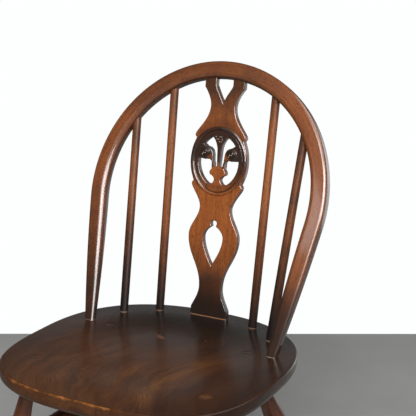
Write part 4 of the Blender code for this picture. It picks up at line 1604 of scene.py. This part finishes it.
    def teardrop(self) -> list[Stop]:
        """Lists the right half of the teardrop opening, from its point up to its knob.

        Returns:
            Places with the handles before and after each.
        """
        fall = self.tear_shoulder - self.tear_bottom
        rise = self.tear_top - self.tear_shoulder
        half, tip = self.knob
        none = (0.0, 0.0)
        return [
            (0.0, self.tear_bottom, none, (0.12 * self.tear_half, 0.10 * fall)),
            (self.tear_half, self.tear_shoulder, (0.0, -0.42 * fall), (0.0, 0.6 * rise)),
            (0.75 * half, self.tear_top, (0.45 * half, -0.12 * rise), none),
            (half, self.tear_top + 0.55 * tip, (0.0, -0.2 * tip), (0.0, 0.25 * tip)),
            (0.0, self.tear_top + tip, (0.6 * half, 0.0), (-0.6 * half, 0.0)),
        ]

    @staticmethod
    def arc(first: float, last: float, count: int) -> list[tuple[float, float, bool]]:
        """Lists points of the unit oval between two angles, with its ends marked as corners."""
        turns = [math.radians(first + (last - first) * step / (count - 1)) for step in range(count)]
        return [(math.cos(turn), math.sin(turn), step in (0, count - 1)) for step, turn in enumerate(turns)]

    def openings(self) -> list[list[Stop]]:
        """Lists the four openings round the thistle, drawn as shares of the oval inside its band.

        Returns:
            The closed outline of each.
        """
        upper = self.arc(68.0, 39.0, 4)
        upper += [(0.62, 0.54, False), (0.48, 0.50, False), (0.365, 0.42, False)]
        upper += [(0.295, 0.28, False), (0.27, 0.08, False), (0.25, -0.22, True)]
        upper += [(0.055, -0.22, True), (0.085, 0.16, False), (0.11, 0.50, False), (0.22, 0.76, False)]
        lower = self.arc(3.0, -62.0, 6)
        lower += [(0.28, -0.89, False), (0.165, -0.73, False), (0.24, -0.60, False)]
        lower += [(0.39, -0.52, False), (0.41, -0.42, False), (0.32, -0.29, False), (0.30, -0.12, False)]
        lower += [(0.42, 0.03, False), (0.70, 0.035, False)]
        half_x, half_y = (half - self.oval_band for half in self.oval_half)
        rows = []
        for side in Side:
            for opening in (upper, lower):
                rows.append(self.eased([(side.value * half_x * x, self.oval_height + half_y * y, corner)
                                        for x, y, corner in opening]))
        return rows

    @staticmethod
    def eased(spots: list[tuple[float, float, bool]]) -> list[Stop]:
        """Gives each point the handles of a smooth line, and none at a corner.

        Args:
            spots: X, Y and whether the line has a corner there.

        Returns:
            The points with their handles.
        """
        rows = []
        for index, (x, y, corner) in enumerate(spots):
            before, after = spots[index - 1], spots[(index + 1) % len(spots)]
            pull = (0.0, 0.0) if corner else ((after[0] - before[0]) / 6.0, (after[1] - before[1]) / 6.0)
            rows.append((x, y, (-pull[0], -pull[1]), pull))
        return rows

    @staticmethod
    def whole(half: list[Stop]) -> list[Stop]:
        """Adds the mirrored left half to a right half.

        Args:
            half: The right half.

        Returns:
            The closed outline.
        """
        left = [(-x, y, (-after[0], after[1]), (-before[0], before[1]))
                for x, y, before, after in reversed(half) if x > WELD]
        return half + left

    def line(self, stops: list[Stop]) -> list[Spot]:
        """Lists points along a closed outline of Bezier stretches.

        Args:
            stops: Its points with their handles.

        Returns:
            Places in the board's plane.
        """
        spots = []
        for index, (x, y, _, pull) in enumerate(stops):
            next_x, next_y, push, _ = stops[(index + 1) % len(stops)]
            if pull == push == (0.0, 0.0):
                spots.append((x, y))
                continue
            start, end = Vector((x, y)), Vector((next_x, next_y))
            first, second = start + Vector(pull), end + Vector(push)
            for step in range(self.curve_steps):
                share = step / self.curve_steps
                rest = 1.0 - share
                spot = (rest ** 3 * start + 3.0 * rest ** 2 * share * first
                        + 3.0 * rest * share ** 2 * second + share ** 3 * end)
                spots.append((spot.x, spot.y))
        return spots

    def hoop(self, name: str, inset: Spot, radius: float, height: float) -> Piece:
        """Bends a round rod along the oval.

        Args:
            name: Name of the rod.
            inset: How far its line lies inside the oval's edge, across and up.
            radius: Radius of the rod.
            height: Height of its line above the middle of the board.

        Returns:
            The rod, in the splat's plane.
        """
        half_x, half_y = self.oval_half[0] - inset[0], self.oval_half[1] - inset[1]
        turns = [math.tau * step / self.oval_steps for step in range(self.oval_steps)]
        spots = [(half_x * math.cos(turn), self.oval_height + half_y * math.sin(turn)) for turn in turns]
        curve = Bench.draw(name, [spots], closed=True)
        curve.data.dimensions = "3D"
        curve.data.twist_mode = "Z_UP"
        curve.data.bevel_depth = radius
        curve.data.bevel_resolution = 6
        return Bench.place(Bench.to_mesh(curve), Matrix.Translation((0.0, 0.0, height)))

    def forward(self, y: np.ndarray) -> np.ndarray:
        """Gives how far the bend brings the board forward at a height up it."""
        share = np.clip(y / (self.prong_top - self.prong_rise), 0.0, 1.0)
        return 4.0 * self.bend * share * (1.0 - share)

    def bent(self, board: Piece) -> None:
        """Slices the flat board and bends it forward between the seat and the bow.

        Args:
            board: The board, in its own plane.
        """
        span = self.prong_top - self.prong_rise
        heights = [span * step / self.bend_steps for step in range(1, self.bend_steps)]
        shares = [2.0 * step / self.side_steps - 1.0 for step in range(1, self.side_steps)]
        planes = [((0.0, height, 0.0), (0.0, 1.0, 0.0)) for height in (*heights, *self.glue_line)]
        planes += [((self.oval_half[0] * share, 0.0, 0.0), ACROSS) for share in shares]
        Bench.edit(board)
        for spot, normal in planes:
            bpy.ops.mesh.select_all(action="SELECT")
            bpy.ops.mesh.bisect(plane_co=spot, plane_no=normal)
        bpy.ops.object.mode_set(mode="OBJECT")
        spots = points_of(board)
        spots[:, 2] += self.forward(spots[:, 1])
        board.data.vertices.foreach_set("co", spots.astype(np.float32).ravel())
        board.data.update()

    def scales(self) -> list[tuple[float, float, bool]]:
        """Lists where the carved scales of the two buds and of the flower sit.

        Returns:
            X, Y and whether the scale gets a painted glint.
        """
        spots = []
        pitch = self.scale_pitch
        for side in Side:
            for row in range(-2, 3):
                for column in range(-2, 3):
                    x, y = pitch * (column + 0.5 * (row % 2)), 0.87 * pitch * row
                    if math.hypot(x, y) < self.bud_radius - 0.6 * pitch:
                        # painted highlight: flags the bud scales that get the pale glint colour
                        wear_and_glints = abs(y - 0.6 * x - 0.001) < 0.45 * pitch
                        spots.append((side.value * self.bud[0] + x, self.bud[1] + y, wear_and_glints))
        for count, height in self.flower:
            for column in range(count):
                # painted highlight: flags the flower scales that get the pale glint colour
                wear_and_glints = count > 2 and (count + column) % 3 > 0
                spots.append((pitch * (column - 0.5 * (count - 1)), height, wear_and_glints))
        return spots

    def buds(self) -> Piece:
        """Makes the two domed buds as one object, sunk in the board's face.

        Returns:
            The buds.
        """
        made = []
        width = self.bud_spread * self.bud_radius
        for side in Side:
            Bench.clear()
            bpy.ops.mesh.primitive_uv_sphere_add(segments=28, ring_count=14, radius=1.0)
            spot = (side.value * self.bud[0], self.bud[1], 0.5 * self.thickness - self.bud_rise)
            matrix = Matrix.Translation(spot) @ Matrix.Diagonal((width, width, 2.0 * self.bud_rise, 1.0))
            made.append(Bench.place(Bench.named("bud"), matrix))
        return Bench.joined(made, "buds")

    def chips(self) -> Piece:
        """Makes the carved scales as one object.

        Returns:
            The scales.
        """
        made = []
        foot, top = self.scale_foot * self.scale_pitch, self.scale_top * self.scale_pitch
        depth = 2.0 * self.scale_rise
        for x, y, _ in self.scales():
            reach = min(math.hypot(abs(x) - self.bud[0], y - self.bud[1]) / self.bud_radius, 1.0)
            lift = self.bud_rise * (1.0 - reach * reach)
            Bench.clear()
            bpy.ops.mesh.primitive_cone_add(vertices=6, radius1=foot, radius2=top, depth=depth)
            spot = Matrix.Translation((x, y, 0.5 * self.thickness + lift))
            made.append(Bench.place(Bench.named("scale"), spot))
        return Bench.joined(made, "scales")

    def build(self) -> Piece:
        """Saws the board, moulds the oval and carves the thistle.

        Returns:
            The finished splat.
        """
        stops = [self.whole(self.outline()), self.whole(self.teardrop()), *self.openings()]
        curve = Bench.draw("splat_board", [self.line(row) for row in stops], closed=True)
        curve.data.dimensions = "2D"
        curve.data.fill_mode = "BOTH"
        curve.data.extrude = 0.5 * self.thickness - self.edge_round
        curve.data.bevel_depth = self.edge_round
        curve.data.bevel_resolution = 4
        curve.data.offset = -self.edge_round
        board = Bench.to_mesh(curve)
        face = 0.5 * self.thickness
        rise = face + self.bead_rise - self.bead_radius
        Bench.cut(board, self.hoop("bead", self.bead_inset, self.bead_radius, rise), Cut.ADD)
        Bench.cut(board, self.hoop("groove", self.groove_inset, self.groove_radius, face))
        Bench.cut(board, self.buds(), Cut.ADD)
        Bench.cut(board, self.chips(), Cut.ADD)
        self.bent(board)
        Bench.place(board, self.plane())
        Bench.smooth(board, self.hard_edge)
        Bench.even(board)
        return board

    def stain(self, spots: np.ndarray, level: np.ndarray) -> np.ndarray:
        """Gives how dark the board is made, with painted shade in the groove.

        Args:
            spots: Points of the flat board.
            level: How far the surface faces the front or the back at each.

        Returns:
            A share from 0 to 1 for each.
        """
        x, y, z = spots.T
        up = y - self.oval_height
        ring = np.hypot(x / self.oval_half[0], up / self.oval_half[1])
        inside = self.oval_inside.at(ring)
        sunk = (z < 0.5 * self.thickness - self.groove_drop) * (ring > self.groove_ring)
        away_x, away_y = np.abs(x) - self.bud[0], y - self.bud[1]
        reach = np.hypot(away_x, away_y) / self.bud_radius
        shade = np.maximum.reduce([
            self.foot_shade.at(y),
            self.head_low.at(y) + self.head_high.at(y),
            inside * self.band_shade.at(ring) * self.band_rise.at(up),
            inside * self.crown_shade.at(y),
            # painted shade in the groove
            inside * self.painted_groove_shade * sunk,
            np.exp(-((ring - 1.0) / self.rim_half) ** 2) * self.rim_shade.at(up),
            self.bud_shade.at(reach),
            self.wall_shade.at(level)])
        cup = Fade(self.cup_light, self.cup_start * self.bud_radius, self.cup_run)
        lit = cup.at(-self.cup_lean * (away_x + away_y)) * (reach < self.cup_reach) * (level > self.cup_level)
        return shade * (1.0 - lit)

    def wear_and_glints(self, spots: np.ndarray) -> np.ndarray:
        """Gives the wear along the glue line and the painted glints on some scales.

        Args:
            spots: Points of the flat board.

        Returns:
            The wear at each, past 1 where a glint is painted.
        """
        x, y, z = spots.T
        wear = np.where(y < self.glue_line[0] + self.glue_slack, self.glue_wear, self.wear)
        raised = z > 0.5 * self.thickness + self.pale_rise * self.scale_rise
        # painted highlight: flagged scales get a wear past the glint range, which paints them in the pale
        # glint colour
        for spot_x, spot_y, pale in self.scales():
            near = np.hypot(x - spot_x, y - spot_y) < self.pale_reach * self.scale_pitch
            wear = np.maximum(wear, self.painted_glint_value * (near & raised & pale))
        return wear

    def dress(self, board: Piece) -> None:
        """Marks the grain, the darkening with painted shade in the groove, and the wear with painted glints,
        and hands the splat over.

        Args:
            board: The finished splat.
        """
        spots = local(points_of(board), self.plane())
        grain = spots[:, [1, 0, 2]]
        level = np.abs(facing(board, self.plane().col[2].xyz))
        spots[:, 2] -= self.forward(spots[:, 1])
        mark(board, grain, self.stain(spots, level), self.wear_and_glints(spots))
        hand_over(board, self.finish.material(), "splat")


@dataclass
class Legs:
    """The four turned legs, tenoned through the seat and wedged."""

    seat: Seat
    finish: StainedWood
    tenon_radius: float = 0.0102
    swell_radius: float = 0.0180
    swell_drop: float = 0.175
    foot_radius: float = 0.0118
    overshoot: float = 0.012
    bore_fit: float = 0.00004
    slot_fit: float = 0.0002
    wedge_top: float = 0.004
    foot_shade: Fade = Fade(0.35, 0.06, -0.06)
    wear: float = 0.10
    grain_step: Triple = (0.9, 0.17, 0.11)
    stations: int = 24
    names: tuple[str, ...] = ("front_left", "front_right", "rear_left", "rear_right")
    golden_end: str = "front_right"

    def ends(self, name: str) -> tuple[Vector, Vector]:
        """Finds where a leg runs.

        Args:
            name: Name of the leg.

        Returns:
            The middle of its foot and of its tenon's end.
        """
        mounts = {mount["name"]: Vector(mount["pos_m"]) for mount in frame["record"]["mounts"]}
        wedge = node_points("leg_wedge_" + name)
        top = wedge[wedge[:, 2] > wedge[:, 2].max() - self.wedge_top]
        return mounts["foot_" + name], Vector(top.mean(axis=0))

    def profile(self, length: float) -> Profile:
        """Lists radius and height, from below the floor to above the seat.

        Args:
            length: Length from the foot to the tenon's end.

        Returns:
            Pairs of radius and height.
        """
        rows = [(self.foot_radius, -self.overshoot)]
        taper = length - self.swell_drop
        for station in range(self.stations + 1):
            share = 1.0 - station / self.stations
            radius = self.foot_radius + (self.swell_radius - self.foot_radius) * (1.0 - share * share)
            rows.append((radius, taper * (1.0 - share)))
        thickness = self.seat.place.thickness
        neck = self.swell_drop - thickness
        for station in range(1, self.stations + 1):
            share = 1.0 - station / self.stations
            radius = self.tenon_radius + (self.swell_radius - self.tenon_radius) * float(ease(share))
            rows.append((radius, length - thickness - neck * share))
        rows.append((self.tenon_radius, length + self.overshoot))
        return rows

    def bore(self, name: str) -> Piece:
        """Makes the bit that bores a leg's hole in the seat.

        Args:
            name: Name of the leg.

        Returns:
            The bit, in its place.
        """
        foot, head = self.ends(name)
        radius = self.tenon_radius + self.bore_fit
        reach = self.seat.place.thickness + self.overshoot
        bit = Bench.turn(f"leg_{name}_bit", [(radius, -reach), (radius, self.overshoot)])
        return Bench.place(bit, aim(head, head + (head - foot)))

    def build(self, name: str) -> Piece:
        """Turns one leg, trims it to the floor and the seat, and saws the slot for its wedge.

        Args:
            name: Name of the leg.

        Returns:
            The finished leg.
        """
        foot, head = self.ends(name)
        leg = Bench.turn(f"leg_{name}_turning", self.profile((head - foot).length))
        Bench.place(leg, aim(foot, head))
        Bench.trim(leg, Vector(), -UP)
        Bench.trim(leg, *self.seat.top_at(head))
        Bench.cut(leg, Bench.copy_node("leg_wedge_" + name, f"wedge_{name}_slot", self.slot_fit))
        Bench.smooth(leg)
        return leg

    def dress(self, leg: Piece, name: str, shift: np.ndarray) -> np.ndarray:
        """Marks the leg's own grain and darker foot, and the seat's on the tenon's end.

        Args:
            leg: The finished leg.
            name: Name of the leg.
            shift: Where its grain starts.

        Returns:
            For each point whether it belongs to the tenon's end.
        """
        foot, head = self.ends(name)
        points = points_of(leg)
        spots = local(points, aim(foot, head))
        on_seat = local(points, self.seat.place.matrix())
        grain = spots[:, [2, 0, 1]] + shift
        shade = self.foot_shade.at(spots[:, 2])
        end = spots[:, 2] > (head - foot).length - 0.5 * self.seat.place.thickness
        grain[end] = self.seat.grain(on_seat)[end]
        shade[end] = 1.0 if name == self.golden_end else self.seat.figure(on_seat)[end]
        mark(leg, grain, shade, np.full(len(spots), self.wear), on_seat)
        return end

    def make(self, plank: bpy.types.Material) -> list[Piece]:
        """Turns, dresses and hands over each leg.

        Args:
            plank: The seat's finish, which goes on over the tenons' ends.

        Returns:
            The four legs.
        """
        material = self.finish.material()
        made = []
        for index, name in enumerate(self.names):
            leg = self.build(name)
            end = self.dress(leg, name, np.array(self.grain_step) * (index + 1))
            hand_over(leg, material, "leg_" + name)
            leg.data.materials.append(plank)
            for face in leg.data.polygons:
                face.material_index = int(all(end[corner] for corner in face.vertices))
            made.append(leg)
        return made


@dataclass
class Wedges:
    """The wedges in the ends of the legs and of the bow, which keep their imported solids."""

    finish: StainedWood
    pale_finish: StainedWood
    gold_finish: StainedWood
    plain: tuple[str, ...] = ("leg_wedge_front_left", "leg_wedge_rear_right", "bow_wedge_left",
                              "bow_wedge_right")
    pale: str = "leg_wedge_rear_left"
    gold: str = "leg_wedge_front_right"

    def make(self) -> list[Piece]:
        """Gives each wedge its finish.

        Returns:
            The six wedges.
        """
        material = self.finish.material()
        made = [repaint(node, material) for node in self.plain]
        made.append(repaint(self.pale, self.pale_finish.material()))
        made.append(repaint(self.gold, self.gold_finish.material()))
        return made


@dataclass(frozen=True)
class Rail:
    """One stretcher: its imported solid, and its radius at the ends and in the middle."""

    node: str
    end_radius: float
    swell_radius: float


@dataclass
class Stretchers:
    """The two side rails and the cross rail under the seat."""

    finish: StainedWood
    rails: tuple[Rail, ...] = (Rail("side_stretcher_left", 0.0078, 0.0115),
                               Rail("side_stretcher_right", 0.0078, 0.0115),
                               Rail("cross_stretcher", 0.0070, 0.0108))
    shade: float = 0.15
    wear: float = 0.08
    grain_step: Triple = (0.5, 0.19, 0.23)
    stations: int = 28

    def build(self, rail: Rail) -> Piece:
        """Turns one stretcher.

        Args:
            rail: Its sizes.

        Returns:
            The finished stretcher.
        """
        start, end = axis_of(rail.node)
        half = 0.5 * (end - start).length
        profile = []
        for station in range(self.stations + 1):
            share = 2.0 * station / self.stations - 1.0
            radius = rail.end_radius + (rail.swell_radius - rail.end_radius) * (1.0 - share * share)
            profile.append((radius, half * (share + 1.0)))
        piece = Bench.turn(rail.node + "_rail", profile)
        Bench.place(piece, aim(start, end))
        Bench.smooth(piece)
        return piece

    def dress(self, piece: Piece, rail: Rail, shift: np.ndarray) -> None:
        """Marks the grain, an even stain and a little wear.

        Args:
            piece: The finished stretcher.
            rail: Its sizes.
            shift: Where its grain starts.
        """
        spots = local(points_of(piece), aim(*axis_of(rail.node)))
        count = len(spots)
        mark(piece, spots[:, [2, 0, 1]] + shift, np.full(count, self.shade), np.full(count, self.wear))

    def make(self) -> list[Piece]:
        """Turns, dresses and hands over each stretcher.

        Returns:
            The three stretchers.
        """
        material = self.finish.material()
        made = []
        for index, rail in enumerate(self.rails):
            piece = self.build(rail)
            self.dress(piece, rail, np.array(self.grain_step) * (index + 1))
            hand_over(piece, material, rail.node)
            made.append(piece)
        return made


@dataclass(frozen=True)
class Lamp:
    """One soft lamp: its name, where it hangs, its width and height, its power in watts and what it lights.

    A mirrored lamp lights nothing: it only shows in the lacquer of the chair's back.
    """

    name: str
    spot: Triple
    size: Span
    power: float
    mirrored: bool


@dataclass
class Studio:
    """The plain floor, the soft light and the camera.

    The world is a white room. The camera sees it plain, the wood is lit by a soft light from the front, and
    the lacquer mirrors a wall behind the chair, its left part, a bright side on the right and a bright place
    high on the right. A pair is the part of a direction over which such a light sets in or ends.
    """

    eye: Triple = (0.73498, -1.27882, 1.07528)
    right: Triple = (0.88977, 0.4564, 0.0005)
    up: Triple = (-0.12514, 0.24287, 0.96195)
    middle: Triple = (0.0, 0.1, 0.6)
    lens: float = 86.54
    sensor: float = 36.0
    floor_colour: Colour = (0.56, 0.56, 0.545)
    floor_darker: float = 0.88
    floor_scale: float = 3.0
    floor_range: Span = (0.3, 0.7)
    floor_rough: float = 0.6
    floor_reach: float = 2.53
    floor_size: float = 9.0
    room_colour: Colour = (0.985, 1.0, 1.0)
    room_light: float = 0.27
    room_range: Span = (-0.7, 0.5)
    dark_side: float = 0.16
    gloss_light: float = 0.06
    wall_light: float = 1.7
    wall_range: Span = (0.35, 0.8)
    wall_turn: Span = (-0.15, 0.25)
    wall_top: Span = (0.02, 0.22)
    left_light: float = 0.20
    left_bottom: Span = (-0.02, 0.10)
    left_top: Span = (0.30, 0.52)
    side_light: float = 0.45
    side_range: Span = (0.55, 0.90)
    side_top: Span = (0.15, 0.40)
    high_light: float = 4.0
    high_range: Span = (0.15, 0.40)
    high_bottom: Span = (0.50, 0.65)
    lamps: tuple[Lamp, ...] = (
        Lamp("front", (0.80, -1.60, 2.20), (1.4, 1.4), 64.0, False),
        Lamp("pane", (1.79, -1.155, 1.64), (1.8, 1.4), 108.0, True),
        Lamp("sheen", (-0.42, -1.36, 1.47), (0.60, 0.24), 1.6, True))

    def ahead(self) -> Vector:
        """Gives the level direction in which the camera looks."""
        return UP.cross(Vector(self.right)).normalized()

    def camera(self) -> None:
        """Sets the camera at the photograph's angle."""
        Bench.clear()
        bpy.ops.object.camera_add()
        camera = Bench.named("camera")
        right, up = Vector(self.right), Vector(self.up)
        camera.matrix_world = frame_at(Vector(self.eye), right, up, right.cross(up))
        camera.data.lens = self.lens
        camera.data.sensor_width = self.sensor
        bpy.context.scene.camera = camera

    def floor(self) -> None:
        """Lays a plain floor whose far edge lies across the view, as far off as in the photograph."""
        Bench.clear()
        bpy.ops.mesh.primitive_grid_add(x_subdivisions=2, y_subdivisions=2, size=self.floor_size)
        floor = Bench.named("floor")
        ahead = self.ahead()
        far = Vector((*self.eye[:2], 0.0)) + ahead * self.floor_reach
        Bench.place(floor, frame_at(far - ahead * 0.5 * self.floor_size, ahead.cross(UP), ahead, UP))
        sheet = FinishSheet("floor_finish")
        tone = sheet.span(sheet.noise(sheet.object_place(), self.floor_scale, detail=4.0), self.floor_range)
        darker = tuple(self.floor_darker * value for value in self.floor_colour)
        colour = sheet.mix(tone, darker, self.floor_colour)
        floor.data.materials.append(sheet.finish(Base_Color=colour, Roughness=self.floor_rough))

    def hang(self, lamp: Lamp, back: Sequence[Piece]) -> None:
        """Hangs one lamp that faces the chair.

        Args:
            lamp: The lamp.
            back: The pieces of the chair's back.
        """
        Bench.clear()
        bpy.ops.object.light_add(type="AREA")
        light = Bench.named(lamp.name)
        light.data.shape = "RECTANGLE"
        light.data.size, light.data.size_y = lamp.size
        light.data.energy = lamp.power
        light.visible_diffuse = not lamp.mirrored
        if lamp.mirrored:
            mirrors = bpy.data.collections.new(lamp.name + "_mirrors")
            for piece in back:
                mirrors.objects.link(piece)
            light.light_linking.receiver_collection = mirrors
        spot = Vector(lamp.spot)
        ahead = (spot - Vector(self.middle)).normalized()
        across = UP.cross(ahead).normalized()
        light.matrix_world = frame_at(spot, across, ahead.cross(across), ahead)

    def mirrored(self, sheet: NodeSheet, way: Socket, behind: Socket) -> Socket:
        """Gives the light that the lacquer mirrors.

        Args:
            sheet: The world's nodes.
            way: The direction looked in.
            behind: How far it goes to the wall behind the chair.

        Returns:
            The strength of the light.
        """
        sides = sheet.node("ShaderNodeSeparateXYZ", {0: way}).outputs
        x, z = sides["X"], sides["Z"]
        low = sheet.span(x, self.wall_turn, 0.0, self.wall_light)
        low = sheet.times(low, sheet.span(z, self.wall_top, 1.0, 0.0))
        left = sheet.span(z, self.left_bottom, 0.0, self.left_light)
        left = sheet.times(left, sheet.span(z, self.left_top, 1.0, 0.0))
        wall = sheet.times(sheet.greater(low, left), sheet.span(behind, self.wall_range))
        level = sheet.span(sheet.math("ABSOLUTE", z), self.side_top, 1.0, 0.0)
        side = sheet.times(sheet.span(x, self.side_range, 0.0, self.side_light), level)
        high = sheet.span(x, self.high_range, 0.0, self.high_light)
        high = sheet.times(high, sheet.span(z, self.high_bottom))
        return sheet.math("ADD", sheet.greater(wall, sheet.greater(side, high)), self.gloss_light)

    def world(self) -> None:
        """Gives the room its light, and shows the camera a plain white wall."""
        world = bpy.data.worlds.new("room")
        bpy.context.scene.world = world
        world.use_nodes = True
        sheet = NodeSheet(world.node_tree)
        path = sheet.node("ShaderNodeLightPath", {}).outputs
        way = sheet.node("ShaderNodeTexCoord", {}).outputs["Generated"]
        turned = sheet.node("ShaderNodeVectorMath", {0: way, 1: self.ahead()}, operation="DOT_PRODUCT")
        behind = turned.outputs["Value"]
        glossy = path["Is Glossy Ray"]
        gloss = sheet.times(glossy, self.mirrored(sheet, way, behind))
        soft = sheet.span(behind, self.room_range, self.room_light, self.room_light * self.dark_side)
        light = sheet.math("ADD", sheet.times(sheet.math("SUBTRACT", 1.0, glossy), soft), gloss)
        background = world.node_tree.nodes["Background"]
        sheet.put(background.inputs["Color"], self.room_colour)
        sheet.put(background.inputs["Strength"], sheet.greater(path["Is Camera Ray"], light))

    def build(self, back: Sequence[Piece]) -> None:
        """Sets up camera, floor, world and lamps.

        Args:
            back: The lacquered pieces of the chair's back.
        """
        bpy.context.scene.view_settings.view_transform = "Standard"
        self.camera()
        self.floor()
        self.world()
        for lamp in self.lamps:
            self.hang(lamp, back)


def report(pieces: Sequence[Piece]) -> None:
    """Logs each piece with its faces and its size.

    Args:
        pieces: The finished pieces.
    """
    for piece in pieces:
        size = 1000.0 * np.ptp(points_of(piece), axis=0)
        LOG.info("%s: %d faces, %.1f x %.1f x %.1f mm", piece.name, len(piece.data.polygons), *size)


def main() -> None:
    """Builds and dresses the chair, reports its pieces, then sets up the studio."""
    logging.basicConfig(level=logging.INFO, format="%(name)s: %(message)s")
    place = SeatFrame()
    seat = Seat(place, PlankFinish())
    legs = Legs(seat, LEG_FINISH)
    plank = seat.build([legs.bore(name) for name in legs.names])
    seat.dress(plank)
    bow = Bow(place, BACK_FINISH)
    rail = bow.build()
    bow.dress(rail)
    sticks = Spindles(SPINDLE_FINISH).make()
    splat = Splat(place, bow, SPLAT_FINISH)
    board = splat.build()
    splat.dress(board)
    under = legs.make(plank.data.materials[0]) + Stretchers(LEG_FINISH).make()
    wedges = Wedges(WEDGE_FINISH, PALE_WEDGE_FINISH, GOLD_WEDGE_FINISH).make()
    report([plank, rail, *sticks, board, *under, *wedges])
    Studio().build([rail, board, *sticks])


if __name__ == "__main__":
    main()
